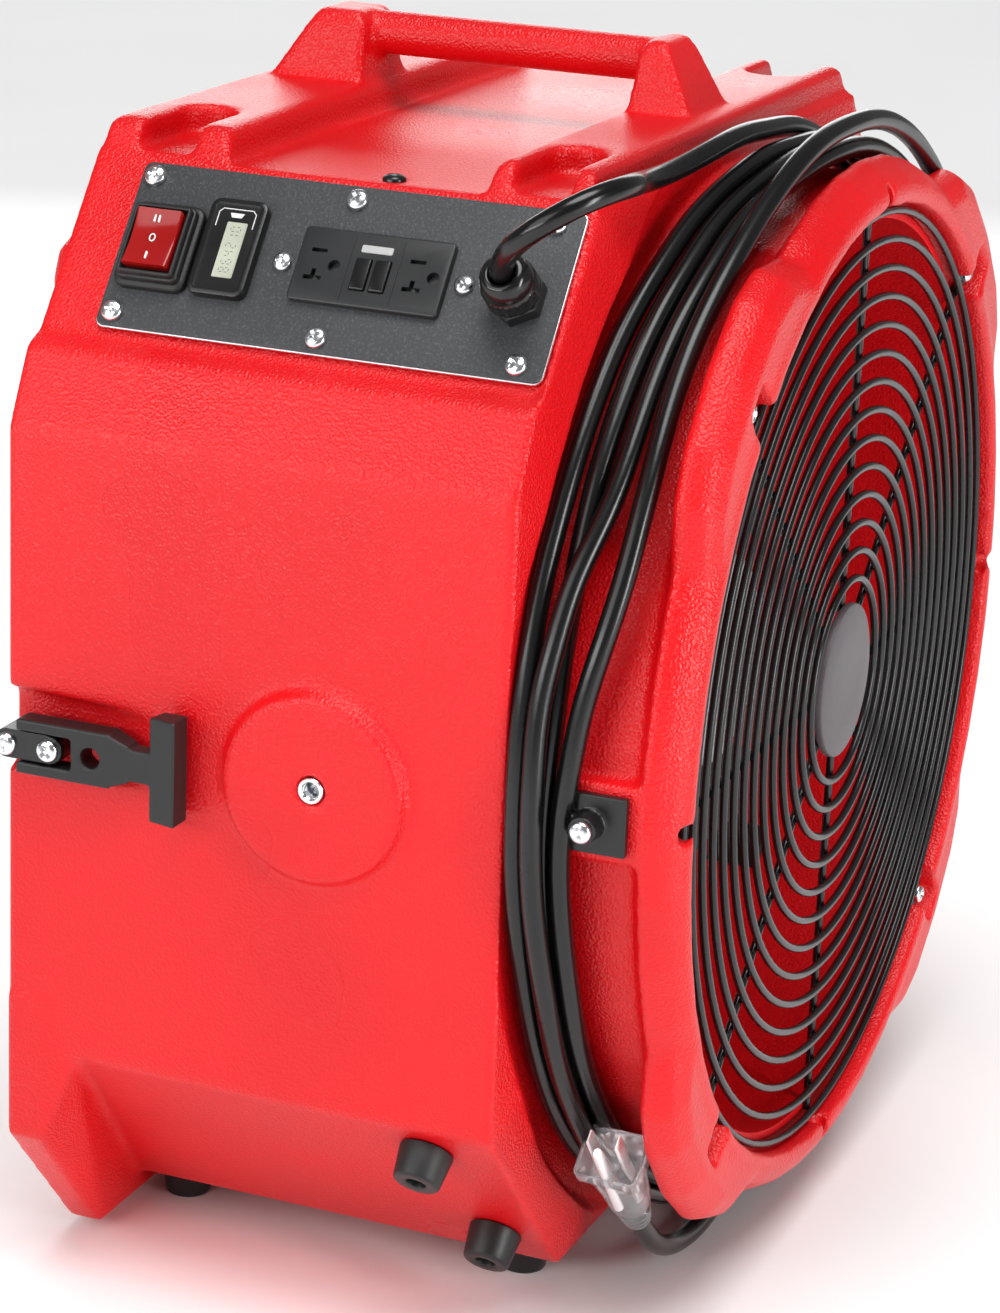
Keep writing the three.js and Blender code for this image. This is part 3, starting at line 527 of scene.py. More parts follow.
# One turn, clockwise from the top: angle, then (y, radius) for each of the
# strands 0 to 4. They spread over the drum, and bunch to pass the keepers.
TURN = [
    (0, [(46, 244), (37.4, 241), (28, 240.5), (18.6, 240.5), (13.5, 253)]),
    (45, [(47, 240), (37.4, 238), (27.9, 238), (18.4, 238), (14, 251)]),
    (70, [(53.5, 241), (44, 237.5), (38.5, 248), (30, 239), (26, 252)]),
    (90, [(60, 246), (51, 238.5), (51.5, 250.5), (41.5, 242.5), (42.5, 255.2)]),
    (110, [(55, 243), (45.5, 238), (42.5, 249), (34.5, 240), (33, 252.5)]),
    (125, [(51, 240), (41.5, 237), (34.5, 245), (25, 238.5), (27.5, 252)]),
    (140, [(48, 238), (38.3, 236.5), (28.6, 238), (18.9, 237), (25, 248.5)]),
    (153, [None, None, None, None, (28.5, 248)]),
    (166, [None, None, None, None, (31.6, 247.5)]),
    (180, [(47.5, 236), (37.8, 236), (28.1, 236), (18.4, 236), None]),
    (202, [(52.3, 238.5), (42.6, 236.8), (35, 243.5), (26, 236.5), None]),
    (225, [(57, 241), (47.5, 238.5), (42.3, 247), (37, 238.2), None]),
    (250, [(58, 244), (49.5, 238.3), (47, 249), (40, 241), None]),
    (268, [(60, 246), (51, 238.5), (51.5, 250.5), (42.5, 243), None]),
    (282, [(61, 246), (49.5, 239), (52.5, 250), (36.5, 244), None]),
    (293, [(60.5, 247), (50, 238.3), (46.5, 250), (27, 246), None]),
    (303, [(58.5, 247.5), (48.3, 244), (37, 245.5), (25, 246), None]),
    (315, [(57, 247), (46.4, 245), (36.3, 244.5), (26, 246), None]),
    (335, [(50, 245), (40.2, 243), (30.4, 243), (20.6, 249), None]),
    (350, [(41.7, 244), (31.8, 241), (22, 241), (16, 254), None]),
]


WINDING_FROM = 36  # degrees, where the lead has joined
WINDING_STEP = 6


def drum_point(angle, y, r):
    t = math.radians(90 - angle)
    return Vector((r * math.cos(t), y, r * math.sin(t)))


def winding_points():
    """The strands as one line, eased between the stations of each turn."""
    stations = []
    for turn in range(5):
        for angle, strands in TURN:
            if strands[turn] is None or (turn == 0 and angle == 0):
                continue
            stations.append((360 * turn + angle, *strands[turn]))
    angles = [s[0] for s in stations]
    points = []
    for angle in range(WINDING_FROM, angles[-1] + 1, WINDING_STEP):
        k = max(i for i in range(len(angles)) if angles[i] <= max(angle, angles[0]))
        k = min(k, len(angles) - 2)
        t = (angle - angles[k]) / (angles[k + 1] - angles[k])
        t = min(max(t, 0), 1)
        ease = t * t * (3 - 2 * t) * 0.5 + t * 0.5
        y = stations[k][1] + (stations[k + 1][1] - stations[k][1]) * ease
        r = stations[k][2] + (stations[k + 1][2] - stations[k][2]) * ease
        points.append(drum_point(angle, y, r))
    return points


def smooth_line(points, step):
    """Centripetal Catmull-Rom through the points, sampled about every step."""
    dense = []
    ends = [points[0] * 2 - points[1]] + points + [points[-1] * 2 - points[-2]]
    for a, b, c, d in zip(ends, ends[1:], ends[2:], ends[3:]):
        t1 = (b - a).length ** 0.5
        t2 = t1 + (c - b).length ** 0.5
        t3 = t2 + (d - c).length ** 0.5
        count = max(1, round((c - b).length / step))
        for i in range(count):
            t = t1 + (t2 - t1) * i / count
            a1 = a * ((t1 - t) / t1) + b * (t / t1)
            a2 = b * ((t2 - t) / (t2 - t1)) + c * ((t - t1) / (t2 - t1))
            a3 = c * ((t3 - t) / (t3 - t2)) + d * ((t - t2) / (t3 - t2))
            b1 = a1 * ((t2 - t) / t2) + a2 * (t / t2)
            b2 = a2 * ((t3 - t) / (t3 - t1)) + a3 * ((t - t1) / (t3 - t1))
            dense.append(b1 * ((t2 - t) / (t2 - t1)) + b2 * ((t - t1) / (t2 - t1)))
    dense.append(points[-1])
    return dense


def relaxed(points, passes, keep=3):
    """Evens out the bends without moving the two ends."""
    points = list(points)
    for _ in range(passes):
        fresh = list(points)
        for i in range(keep, len(points) - keep):
            middle = (points[i - 1] + points[i + 1]) / 2
            fresh[i] = points[i] * 0.5 + middle * 0.5
        points = fresh
    return points


PLUG_FROM = Vector((-153, 31, -210))
PLUG_TO = Vector((-219.9, 26.7, -136.1))


def make_plug():
    """Clear moulded plug: ribbed neck, waisted grip, square face, three blades."""
    axis = (PLUG_TO - PLUG_FROM).normalized()
    side = Vector((0, 1, 0))
    over = axis.cross(side).normalized()
    side = over.cross(axis).normalized()
    turn = placed(side, over, axis, PLUG_FROM)
    sections = [
        (0, 10.4, 10.4, 5.2), (0.6, 11.6, 11.6, 5.8), (2.6, 13.2, 13.2, 6.6),
        (3.8, 13.2, 13.2, 6.6), (4.4, 11.4, 11.4, 5.7), (5.6, 11.6, 11.6, 5.8),
        (6.4, 14.2, 14.2, 7.1), (8.2, 14.2, 14.2, 7.1), (8.8, 12.2, 12.2, 6.1),
        (10.2, 12.6, 12.6, 6.3), (11, 15.6, 15.6, 7.8), (13, 15.8, 15.8, 7.8),
        (13.8, 13.8, 13.8, 6.9), (17, 15, 14.6, 7), (22, 18.5, 17, 7.5),
        (30, 19.6, 18, 7.5), (40, 20.4, 18.6, 7), (50, 22, 19.6, 6), (57, 24.6, 21, 5),
        (60, 28, 23.6, 4), (61.2, 29.4, 24.6, 3.4), (66.4, 29.6, 24.8, 3.4),
        (67.4, 29, 24.2, 3.1), (67.8, 27.6, 22.8, 2.4), (67.4, 26.4, 21.6, 2),
    ]
    bm = bmesh.new()
    bridge(bm, [[(x, y, z) for x, y in outline(w, h, r, 6)] for z, w, h, r in sections])
    bm.transform(turn)
    body = solid("plug_body", bm, "base", CLEAR, ("plug",))
    # Two flat blades and the longer earth pin.
    bm = bmesh.new()
    for across, along, thick, wide, reach in (
        (-6.3, 1.5, 1.7, 6.6, 88), (6.3, 1.5, 1.7, 6.6, 88), (0, 9, 4.6, 5.2, 90),
    ):
        shape = bmesh.new()
        levels = [(34, 0), (reach - 2, 0), (reach - 0.6, 0.3), (reach, 0.65)]
        stack(shape, thick, wide, 0.6 if thick < 3 else 2.2, (across, along), levels)
        shape.transform(turn)
        merge(bm, shape)
    return [body, solid("plug_blades", bm, "base", NICKEL)]


def make_cord():
    points = LEAD + winding_points() + TAIL
    line = relaxed(smooth_line(points, 7.0), 5)
    cord = wires(
        "power_cord", [(line, False)], CORD_D / 2, JACKET, "base",
        ("cord_lead", "cord_winding", "cord_tail"), sides=6,
    )
    plug = make_plug()


make_cord()


# ------------------------------------------------------------------ housing
def press_groove(co):
    """Where the cord lies, the body's end face is pressed back behind it."""
    inner, outer, fade_over = 231.5, 272, 18
    front, depth = 42, 23.5
    y = co[:, 1] * 1000 + 150
    radius = np.hypot(co[:, 0], co[:, 2] - 0.256) * 1000
    floor = front + depth * np.clip((outer - radius) / fade_over, 0, 1)
    hit = (radius > inner) & (radius < outer) & (y > front) & (y < front + depth)
    pushed = np.where(hit, np.maximum(y, floor), y)
    co[:, 1] = (pushed - 150) / 1000
    return co


SHELL_VOXEL = 1.7
HANDLE_DROP = 0.0012  # metres, so that the handle joins the deck


def make_housing():
    """Housing and handle as one moulding, with the groove for the cord."""
    bm = copied("housing")
    handle = bmesh.new()
    handle.from_mesh(NODES["carry_handle"].data)
    bmesh.ops.translate(handle, verts=handle.verts, vec=(0, 0, -HANDLE_DROP))
    merge(bm, handle)
    voxel = SHELL_VOXEL
    obj = softened(
        "moulded_shell", bm, voxel, 8, RED, "base",
        ("housing", "carry_handle"),
    )
    data = obj.data
    co = np.empty(len(data.vertices) * 3)
    data.vertices.foreach_get("co", co)
    co = press_groove(co.reshape(-1, 3))
    data.vertices.foreach_set("co", co.ravel())
    data.update()
    smoothed(obj, 2)


make_housing()


def lathe_ring(bm, profile, segments):
    """A closed profile turned about the fan axis."""
    rings = []
    for t in around(segments):
        rings.append([bm.verts.new((r * math.cos(t), y, r * math.sin(t))) for r, y in profile])
    count = len(profile)
    for i in range(segments):
        a, b = rings[i], rings[(i + 1) % segments]
        for j in range(count):
            k = (j + 1) % count
            bm.faces.new((a[j], a[k], b[k], b[j]))


def make_liner():
    bm = bmesh.new()
    profile = [
        (209.6, 4.9), (213.2, 4.9), (213.2, 293), (212, 295), (210.5, 295.4),
        (208, 292), (206, 284), (205.6, 280), (205.6, 232), (206.4, 228),
        (206.4, 150), (205.6, 146), (205.6, 92), (206.6, 88), (207.4, 60), (208.8, 20),
    ]
    lathe_ring(bm, profile, 120)
    # The duct wall takes the lighter red, which is painted light for the dim inside of the duct.
    solid("duct_wall", bm, "base", DUCT_PAINTED_LIGHT, ("duct_liner",))


make_liner()


# ------------------------------------------------------------------ guards
def screw_loop(a):
    """The guard wire bent round the screw at angle a."""
    centre = polar(a, SCREW_CIRCLE, 2.2)
    along = polar(a, 1, 0)
    across = polar(a + 90, 1, 0)
    loop = [polar(a - 0.35, 214, 3.2)]
    for i in range(25):
        t = math.pi + 0.35 + (2 * math.pi - 0.7) * i / 24
        loop.append(centre + along * 5.6 * math.cos(t) + across * 5.6 * math.sin(t))
    loop.append(polar(a + 0.35, 214, 3.2))
    return loop


def make_outlet_guard():
    rings = [(circle(RING_FIRST + RING_PITCH * k, 0), True) for k in range(RINGS)]
    spokes = []
    for a in range(0, 360, 45):
        reach = 218 if a % 90 else 213.8
        spokes.append(([polar(a, 26, 3.4), polar(a, reach, 3.4)], False))
    for a in LUG_ANGLES:
        spokes.append((screw_loop(a), False))
    wires("outlet_rings", rings, 1.9, WIRE, "base", ("outlet_guard",))
    wires("outlet_spokes", spokes, 1.75, WIRE, "base")
    bm = bmesh.new()
    lathe(
        bm,
        [
            (0.01, 2.4), (34.6, 2.4), (35.6, 1.6), (35.6, -0.6), (35.2, -1.3),
            (34.2, -1.7), (20, -2.3), (0.01, -2.6),
        ],
        segments=72,
    )
    solid("hub_disc", bm, "base", DISC)


def make_inlet_guard():
    y = BODY_Y1 + 5
    rings = [(circle(r, y), True) for r in (*range(45, 196, 15), 208)]
    spokes = []
    for a in range(0, 360, 90):
        spoke = [polar(a, 26, y - 3.4), polar(a, 212, y - 3.4), polar(a, 221, y - 3.2)]
        spokes.append((spoke, False))
    for a in LUG_ANGLES:
        spokes.append(([polar(a, 26, y - 3.4), polar(a, 209, y - 3.4)], False))
    wires("inlet_rings", rings, 1.8, WIRE, "base", ("inlet_guard",))
    wires("inlet_spokes", spokes, 1.8, WIRE, "base")
    bm = bmesh.new()
    lathe(
        bm,
        [(0.01, y - 2), (35, y - 2), (35.6, y - 1), (35.6, y + 1.2), (34.6, y + 2), (0.01, y + 2.6)],
        segments=56,
    )
    for a in range(0, 360, 90):
        lathe(
            bm,
            [(2.4, 0.4), (6.2, 0.4), (6.2, 2.6), (5.8, 3.0), (2.4, 3.0)],
            polar(a, 222, BODY_Y1),
            (0, 1, 0),
            24,
        )
    solid("inlet_disc", bm, "base", WIRE)


make_outlet_guard()
make_inlet_guard()


# ------------------------------------------------------------------ screws
def cross_cutter(radius, deep):
    """The tapered cross of a driver recess, pointing into the head."""
    bm = bmesh.new()
    for turn in (0, 1):
        low, high = 0.16 * radius, 0.62 * radius
        loops = []
        for z, k in ((0.9, 1.25), (-deep, 0.55)):
            w, h = (high * k, low * 1.1) if turn == 0 else (low * 1.1, high * k)
            loops.append([(w, h, z), (-w, h, z), (-w, -h, z), (w, -h, z)])
        bridge(bm, loops)
    bmesh.ops.recalc_face_normals(bm, faces=bm.faces)
    return mesh_of("cross", bm)


def screw_head(radius):
    """Pan head with a driver cross, standing on z = 0."""
    bm = bmesh.new()
    lathe(
        bm,
        [
            (0.01, -1), (0.93 * radius, -1), (0.93 * radius, 0), (radius, 0.15),
            (radius, 0.3 * radius), (0.95 * radius, 0.42 * radius),
            (0.82 * radius, 0.55 * radius), (0.6 * radius, 0.64 * radius),
            (0.3 * radius, 0.69 * radius), (0.01, 0.7 * radius),
        ],
        (0, 0, 0),
        (0, 0, 1),
        28,
    )
    bmesh.ops.remove_doubles(bm, verts=bm.verts, dist=0.05)
    bmesh.ops.recalc_face_normals(bm, faces=bm.faces)
    head = linked("head", mesh_of("head", bm))
    tool = linked("tool", cross_cutter(radius, 0.35 * radius))
    tool.location = (0, 0, 0.7 * radius - 0.15)
    return carved(head, tool)


HEADS = {}


def screw(name, at, out, radius, spin=0.4, mat=ZINC):
    """Shows a screw's head at a point, facing out and turned by spin."""
    if radius not in HEADS:
        HEADS[radius] = screw_head(radius)
    bm = bmesh.new()
    bm.from_mesh(HEADS[radius])
    turn = Vector((0, 0, 1)).rotation_difference(Vector(out).normalized())
    place = turn.to_matrix().to_4x4() @ Matrix.Rotation(spin, 4, "Z")
    place.translation = Vector(at)
    bm.transform(place)
    return piece(name + "_head", finish_mesh(name, bm), "base", mat, (name,))


def make_screws():
    for i, a in enumerate(LUG_ANGLES):
        at = polar(a, SCREW_CIRCLE, 0.9)
        screw(f"guard_screw_{i + 1}", at, (0, -1, 0), 5.0, 0.3 + i)
    for i, (u, v) in enumerate(PANEL_SCREWS):
        at = on_panel(u, v, FACE)
        screw(f"panel_screw_{i + 1}", at, PANEL_W, 4.7, 0.5 * i + 0.2)
    for i, u in enumerate(GFCI_SCREWS):
        at = on_panel(u, GFCI[1], FACE)
        screw(f"outlet_screw_{i + 1}", at, PANEL_W, 4.2, 1.1 * i + 0.3)
    for s, side in SIDES:
        for i, y in enumerate((287, 267)):
            at = (s * (HALF + 12.6), y, 0)
            screw(f"latch_screw_{side}_{i + 1}", at, (s, 0, 0), 5.0, 0.8 * i)
        at = (s * (236.8 + 13.9), 30, 3.5)
        screw(f"keeper_screw_{side}", at, (s, 0, 0), 4.7, 0.25)
    at = (-160, 160, 236.9)
    screw("deck_screw", at, (0, 0, 1), 5.0, mat=WIRE)


make_screws()


# ------------------------------------------------------------------ motor, fan
def make_motor():
    bm = bmesh.new()
    lathe(
        bm,
        [
            (0.01, 74), (50, 74), (50, 75.5), (69, 76.3), (73, 78.5), (75.6, 82), (76.6, 88),
            (76.6, 90), (75.2, 91), (75.2, 95), (76.6, 96), (76.6, 108), (75.2, 109),
            (75.2, 113), (76.6, 114), (76, 124), (73, 130), (66, 134), (34, 136), (30, 139),
            (26, 141.8), (8.6, 141.8), (8.6, 112), (0.01, 112),
        ],
        segments=72,
    )
    solid("motor_body", bm, "base", MOTOR, ("motor",))
    # Bare front bell, with its bearing boss and a ring of through bolts.
    bm = bmesh.new()
    lathe(
        bm,
        [
            (0.01, 53.6), (9, 53.6), (10, 54.4), (11, 56.4), (27, 56.6), (29, 55), (44, 55.6),
            (47.6, 57.4), (49.4, 60.6), (49.8, 64), (49.8, 73.8), (0.01, 73.8),
        ],
        segments=72,
    )
    for a in (30, 150, 210, 330):
        lathe(
            bm,
            [(0.01, 55.4), (3.4, 55.4), (3.6, 55), (3.6, 52.6), (3, 52), (0.01, 52)],
            polar(a, 38, 0),
            (0, 1, 0),
            6,
        )
    solid("motor_bell", bm, "base", BELL)


BLADE_R = (46, 100, 150, 202)
BLADE_CHORD = (34, 42, 50, 54)
BLADE_PITCH = (40, 32, 25, 20)
BLADE_MIDDLE = 192


def blade_loops():
    """Sections from root to tip, rolled onto circles about the fan axis."""
    loops = []
    for k in range(13):
        f = k / 12
        r = BLADE_R[0] + (BLADE_R[-1] - BLADE_R[0]) * f
        chord = np.interp(r, BLADE_R, BLADE_CHORD)
        if f > 0.9:
            chord *= 1 - 2.2 * (f - 0.9) ** 1.3
        pitch = math.radians(np.interp(r, BLADE_R, BLADE_PITCH))
        loop = []
        for t in around(24):
            c = chord * math.cos(t)
            thick = 1.5 * math.sin(t) + 5 * (1 - math.cos(t) ** 2)
            side = c * math.cos(pitch) - thick * math.sin(pitch)
            lift = c * math.sin(pitch) + thick * math.cos(pitch)
            a = side / r
            loop.append((r * math.cos(a), BLADE_MIDDLE + lift, r * math.sin(a)))
        loops.append(loop)
    return loops


def make_fan():
    bm = bmesh.new()
    lathe(
        bm,
        [
            (8.2, 158.4), (38, 158.4), (44, 159.2), (49, 161.4), (51.6, 166), (52, 172),
            (52, 214), (51, 220), (47, 224.4), (42, 225.8), (16, 225.8), (15, 224), (8.2, 224),
        ],
        segments=64,
    )
    for n in range(5):
        turn = Matrix.Rotation(2 * math.pi * n / 5, 4, "Y")
        bridge(bm, [[turn @ Vector(p) for p in loop] for loop in blade_loops()])
    solid("fan_wheel", bm, "rotor", PLASTIC, ("fan",))


def make_mount():
    bm = copied("motor_mount")
    softened("motor_straps", bm, 1.4, 3, MOTOR, "base", ("motor_mount",))


make_motor()
make_fan()
make_mount()


# ------------------------------------------------------------------ panel
def make_plate():
    bm = bmesh.new()
    slab(bm, 200, 76.8, 4, (0, 0), 0.3, 1.5, 0.1)
    fitted("plate_edge", bm, EDGE)
    bm = bmesh.new()
    slab(bm, 199.2, 76.0, 3.6, (0, 0.1), 1.2, FACE, 0.35)
    fitted("plate_face", bm, PLATE, ("control_panel",))


def cut_away(name, bm, cutters):
    """Takes the cutter shapes out of the shape, both in panel millimetres."""
    bmesh.ops.remove_doubles(bm, verts=bm.verts, dist=1e-4)
    parts = []
    for label, shape in (("body", bm), ("cutters", cutters)):
        bmesh.ops.recalc_face_normals(shape, faces=shape.faces)
        parts.append(linked(name + label, mesh_of(name + label, shape)))
    result = bmesh.new()
    result.from_mesh(carved(*parts))
    return result


def make_receptacle():
    u0, v0 = GFCI
    bm = bmesh.new()
    slab(bm, 66.8, 33.3, 2.0, GFCI, -3, FACE + 3.2, 0.7)
    tools = bmesh.new()
    out = 12
    slots = ((7, 1.8, -2.6, 6.2), (8, 2, -2.6, -6.2), (2, 5, -2.6, -4.6))
    earth_pin = [(0.01, -2), (2.7, -2), (2.7, out), (0.01, out)]
    for side in (-1, 1):
        c = u0 + side * OUTLET_STEP
        for w, h, du, dv in slots:
            stack(tools, w, h, 0.3, (c + du, v0 + dv), [(-2, 0), (out, 0)])
        lathe(tools, earth_pin, (c + 5.6, v0, 0), (0, 0, 1), 24)
    for du in BUTTON_U:
        stack(tools, 7.4, 14.6, 0.8, (u0 + du, v0 + BUTTON_V), [(-1.5, 0), (out, 0)])
    shape = cut_away("receptacle", bm, tools)
    fitted("receptacle_face", shape, FACEPLATE, ("outlet_receptacle",))
    for name, du in zip(("test_button", "reset_button"), BUTTON_U):
        bm = bmesh.new()
        slab(bm, 6.8, 14, 0.8, (u0 + du, v0 + BUTTON_V), 0.2, FACE + 4.4, 0.6)
        fitted(name + "_cap", bm, GLOSSY, (name,), body=name)
    bm = bmesh.new()
    slab(bm, 14, 3.4, 0.7, (u0 + 0.5, v0 + 9.2), FACE + 2.6, FACE + 3.6, 0.3)
    fitted("status_window", bm, LABEL)
    # A raised line parts the two outlets from the buttons between them.
    bm = bmesh.new()
    for du in (-10.6, 11.6):
        slab(bm, 0.6, 29, 0.2, (u0 + du, v0), FACE + 3.0, FACE + 3.6, 0.15)
    fitted("outlet_ribs", bm, FACEPLATE)


def make_switch():
    u0, v0 = ROCKER
    bm = bmesh.new()
    levels = [
        (-20, 5.5), (FACE + 0.2, 5.5), (FACE + 0.2, 0), (FACE + 2.6, 0), (FACE + 3.4, 0.3),
        (FACE + 3.8, 1.2), (FACE + 4.0, 2.2), (FACE + 6.6, 2.4), (FACE + 7.0, 2.7),
        (FACE + 7.1, 3.4), (FACE + 9.2, 3.6), (FACE + 9.8, 3.9), (FACE + 10, 4.5),
        (FACE + 9.8, 5.0), (FACE + 9.2, 5.3), (FACE + 4.6, 5.4),
    ]
    stack(bm, 33, 39, 5.5, ROCKER, levels, 7)
    fitted("boot_skirt", bm, RUBBER, ("switch_boot",), flat=50)
    # The rocker's face is hollowed along its length.
    bm = bmesh.new()
    rows = []
    half_w, half_h = 10.2, 12.6
    dish = 1.7
    top = 14.6
    for i in range(13):
        v = -half_h + 2 * half_h * i / 12
        lift = top - 1.6 + dish * (v / half_h) ** 2
        row = []
        for u, w in (
            (-half_w, 8.6), (-half_w, lift - 0.8), (-half_w + 0.3, lift - 0.2),
            (-half_w + 1.0, lift), (0, lift - 0.25), (half_w - 1.0, lift),
            (half_w - 0.3, lift - 0.2), (half_w, lift - 0.8), (half_w, 8.6),
        ):
            row.append((u0 + u, v0 + v, w))
        rows.append(row)
    bridge(bm, rows)
    fitted("rocker_key", bm, SWITCH, ("rocker",), body="rocker")
    # Two bars, one bar and, between them, a ring.
    bm = bmesh.new()
    for du, dv in ((-1.0, 8.4), (1.0, 8.4), (0, -8.4)):
        lift = top - 1.1 + dish * (dv / half_h) ** 2
        slab(bm, 0.7, 3.2, 0.3, (u0 + du, v0 + dv), lift - 0.9, lift + 0.12, 0.05)
    fitted("rocker_bars", bm, WHITE, body="rocker")
    ring = []
    for t in around(24):
        ring.append((u0 + 1.2 * math.cos(t), v0 + 1.6 * math.sin(t), top - 1.35))
    wires("rocker_ring", [(ring, True)], 0.3, WHITE, "rocker", (), 2, PANEL)


# The meter's digits, each the bars it lights; a bar is across, up, width, height.
DIGITS = ("abcdef", "bc", "abged", "fgbc", "afgedc", "abcdefg")
SEGMENT_AT = {
    "a": (0, 1.5, 1.0, 0.24), "g": (0, 0, 1.0, 0.24), "d": (0, -1.5, 1.0, 0.24),
    "f": (-0.65, 0.75, 0.24, 1.2), "b": (0.65, 0.75, 0.24, 1.2),
    "e": (-0.65, -0.75, 0.24, 1.2), "c": (0.65, -0.75, 0.24, 1.2),
}


def make_meter():
    u0, v0 = METER
    bm = bmesh.new()
    levels = [
        (FACE + 0.2, 0), (FACE + 3.4, 0), (FACE + 4.2, 0.3), (FACE + 4.5, 0.9),
        (FACE + 4.5, 2.2), (FACE + 4.1, 2.6), (FACE + 4.0, 3.2),
    ]
    stack(bm, 26, 44, 4.5, METER, levels, 7)
    tools = bmesh.new()
    stack(tools, 9.8, 25.8, 0.8, (u0 + 1, v0 - 1), [(FACE + 2.6, 0), (20, 0)])
    shape = cut_away("meter", bm, tools)
    fitted("meter_bezel", shape, PLASTIC, ("hour_meter",))
    bm = bmesh.new()
    slab(bm, 9.4, 25.4, 0.6, (u0 + 1, v0 - 1), FACE + 2.7, FACE + 3.6, 0.15)
    fitted("meter_lens", bm, LCD, ("meter_window",))
    bm = bmesh.new()
    size = 1.5
    for place, bars in enumerate(DIGITS):
        across = 9.4 - place * 3.7
        for name in bars:
            x, y, w, h = SEGMENT_AT[name]
            at = (u0 + 1 - y * size, v0 - 1 + across + x * size)
            slab(bm, h, w, 0.08, at, FACE + 3.4, FACE + 3.66, 0.03)
    fitted("meter_digits", bm, INK)
    # White bracket over the window, and a small pale tab inside it.
    corners = ((-8.4, 9), (-8.4, 15.6), (-6.8, 17.2), (6.8, 17.2), (8.4, 15.6), (8.4, 9))
    bracket = [(u0 + x, v0 + y, FACE + 4.05) for x, y in corners]
    wires("meter_graphic", [(bracket, False)], 0.24, WHITE, "base", (), 2, PANEL)
    bm = bmesh.new()
    tab = ((-2.2, 13.4), (2.2, 13.4), (3.2, 15.4), (-3.2, 15.4))
    bridge(bm, [[(u0 + x, v0 + y, z) for x, y in tab] for z in (FACE + 3.8, FACE + 4.2)])
    fitted("meter_tab", bm, WHITE)


def make_gland():
    u0, v0 = GLAND
    bm = bmesh.new()
    loops = []
    for w, r in (
        (FACE + 0.1, 12.0), (FACE + 0.5, 12.5), (FACE + 6.2, 12.5), (FACE + 6.9, 11.9),
        (FACE + 7.0, 10.8), (FACE + 7.0, 9.0), (FACE + 9.6, 9.0),
    ):
        loop = []
        for t in around(36):
            turn = (t + math.pi / 6) % (math.pi / 3) - math.pi / 6
            k = r * (math.cos(math.pi / 6) / math.cos(turn) if r > 11 else 1)
            loop.append((u0 + k * math.cos(t), v0 + k * math.sin(t), w))
        loops.append(loop)
    bridge(bm, loops)
    fitted("gland_hex", bm, PLASTIC, ("gland_body",))
    bm = bmesh.new()
    rise = [
        (9.0, 7.6), (11.4, 7.6), (12.0, 8.2, 1), (12.0, 14.8, 1), (11.7, 15.6), (11.1, 16.2),
        (11.1, 17.4), (10.7, 20.4), (9.8, 22.8), (8.6, 24.2), (7.2, 24.9), (6.2, 24.9),
        (5.6, 24.2), (5.2, 22.6), (5.2, 12),
    ]
    profile = [(p[0], p[1] + FACE, *p[2:]) for p in rise]
    lathe(bm, profile, (u0, v0, 0), (0, 0, 1), 96, lobes=16, depth=0.7)
    fitted("gland_dome", bm, GLOSSY, ("gland_nut",), flat=50)


make_plate()
make_receptacle()
make_switch()
make_meter()
make_gland()


# ------------------------------------------------------------------ sides
def make_side(s, side):
    """The boss's threaded insert, the latch and the keeper on one side."""
    bm = bmesh.new()
    lathe(
        bm,
        [
            (3.4, -12.6), (5.7, -12.6), (5.7, 5.2), (5.3, 5.7), (4.2, 5.7), (3.8, 5.2),
            (3.8, 4.4), (3.4, 4.0), (3.8, 3.4), (3.4, 2.8), (3.8, 2.2), (3.4, 1.6), (3.8, 1.0),
            (3.4, 0.4), (3.4, -8),
        ],
        (s * HALF, 149, 0),
        (s, 0, 0),
        32,
    )
    piece(
        f"boss_insert_{side}", finish_mesh("boss_insert", bm), "base", ZINC,
        (f"threaded_insert_{side}",),
    )
    for name, node, voxel, passes, mat, body, slot in (
        ("bracket", "latch_bracket", 0.7, 4, PLASTIC, "base", "black_plastic"),
        ("draw_strap", "latch_strap", 0.7, 6, RUBBER, f"strap_{side}", "black_rubber"),
        ("keeper_plate", "keeper", 0.6, 3, PLASTIC, "base", "black_plastic"),
    ):
        node = f"{node}_{side}"
        softened(f"{name}_{side}", copied(node), voxel, passes, mat, body, (node,))


for s, side in SIDES:
    make_side(s, side)


# ------------------------------------------------------------------ feet
def make_foot(name, at, out, tall):
    bm = bmesh.new()
    lathe(
        bm,
        [
            (0.01, -7.8), (2.9, -7.8), (2.9, 0.3), (11.2, 0.3), (11.9, 0.9), (11.8, 2.4),
            (10.4, tall - 1.4), (9.9, tall - 0.4), (9.2, tall), (5.4, tall), (4.6, tall - 0.5),
            (4.3, tall - 1.6), (4.2, tall - 6.8), (0.01, tall - 6.8),
        ],
        at,
        out,
        40,
    )
    piece(name + "_rubber", finish_mesh(name, bm), "base", RUBBER, (name,))


def make_feet():
    for s, side in SIDES:
        for y, end in ((92, "outlet"), (262, "inlet")):
            make_foot(f"foot_{side}_{end}", (s * 132, y, -238), (0, 0, -1), 18)
        down = Vector((-s * 0.683, 0, -0.73))
        out = (s * 0.73, 0, -0.683)
        crease = Vector((s * HALF, 0, -144))
        for d, y, end in ((20, 99, "upper"), (101, 88, "lower")):
            place = crease + down * d
            place.y = y
            make_foot(f"tilt_foot_{side}_{end}", place, out, 16)


make_feet()


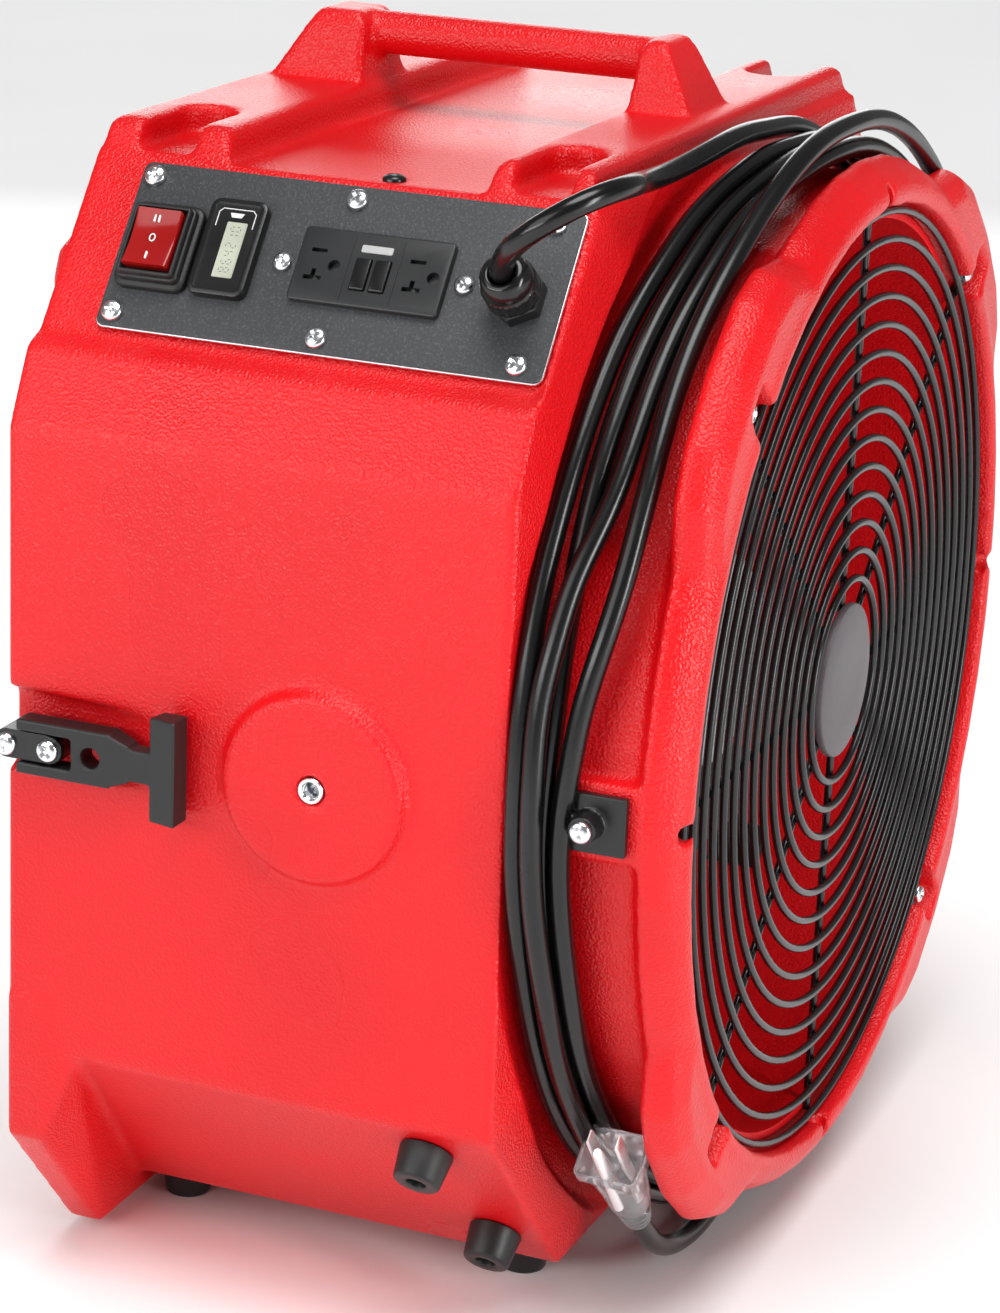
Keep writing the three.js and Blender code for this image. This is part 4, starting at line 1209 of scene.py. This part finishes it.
# ------------------------------------------------------------------ kept nodes
def repaint(node, mat):
    data = NODES[node].data
    data.materials.clear()
    data.materials.append(mat)


repaint("motor_shaft", STEEL)
repaint("run_capacitor", CAN)


# ------------------------------------------------------------------ studio
def area(name, at, towards, size, power):
    data = bpy.data.lights.new(name, "AREA")
    data.shape = "RECTANGLE"
    data.size, data.size_y = size
    data.energy = power
    obj = linked(name, data)
    obj.location = at
    aim = Vector(towards) - Vector(at)
    obj.rotation_euler = aim.to_track_quat("-Z", "Y").to_euler()


def make_world():
    scene = bpy.context.scene
    scene.view_settings.view_transform = "Standard"
    scene.view_settings.look = "None"
    world = bpy.data.worlds.new("studio")
    world.use_nodes = True
    background = world.node_tree.nodes["Background"]
    background.inputs["Color"].default_value = (1, 1, 1, 1)
    background.inputs["Strength"].default_value = 0.18
    scene.world = world


def make_floor():
    bm = bmesh.new()
    bmesh.ops.create_grid(bm, x_segments=2, y_segments=2, size=9)
    floor = linked("studio_floor", mesh_of("studio_floor", bm))
    mat, tree, shader = principled("floor_white", (0.93, 0.93, 0.93), 0.7)
    tex = noise(tree, 3.0)
    gloss = spread(tree, tex.outputs["Fac"], 0.66, 0.76)
    tree.links.new(gloss.outputs["Result"], shader.inputs["Roughness"])
    floor.data.materials.append(mat)


def make_lights():
    sun = bpy.data.lights.new("overhead_sun", "SUN")
    sun.energy = 2.4
    sun.angle = math.radians(40)
    lamp = linked("overhead_sun", sun)
    lamp.rotation_euler = Vector((0.22, 0.14, -1)).to_track_quat("-Z", "Y").to_euler()
    area("left_strip", (-1.66, 0.74, 0.66), (-0.24, 0.02, 0.39), (1.3, 0.2), 8.5)
    area("left_softbox", (-1.6, 0.7, 1.3), (-0.22, 0.02, 0.42), (1.5, 0.8), 8)
    area("front_strip", (-0.8, -2.1, 0.7), (0, 0, 0.27), (0.4, 1.2), 24)
    area("back_glow", (1.9, 1.0, 0.95), (0, 0, 0.4), (1.6, 0.9), 13)


make_world()
make_floor()
make_lights()
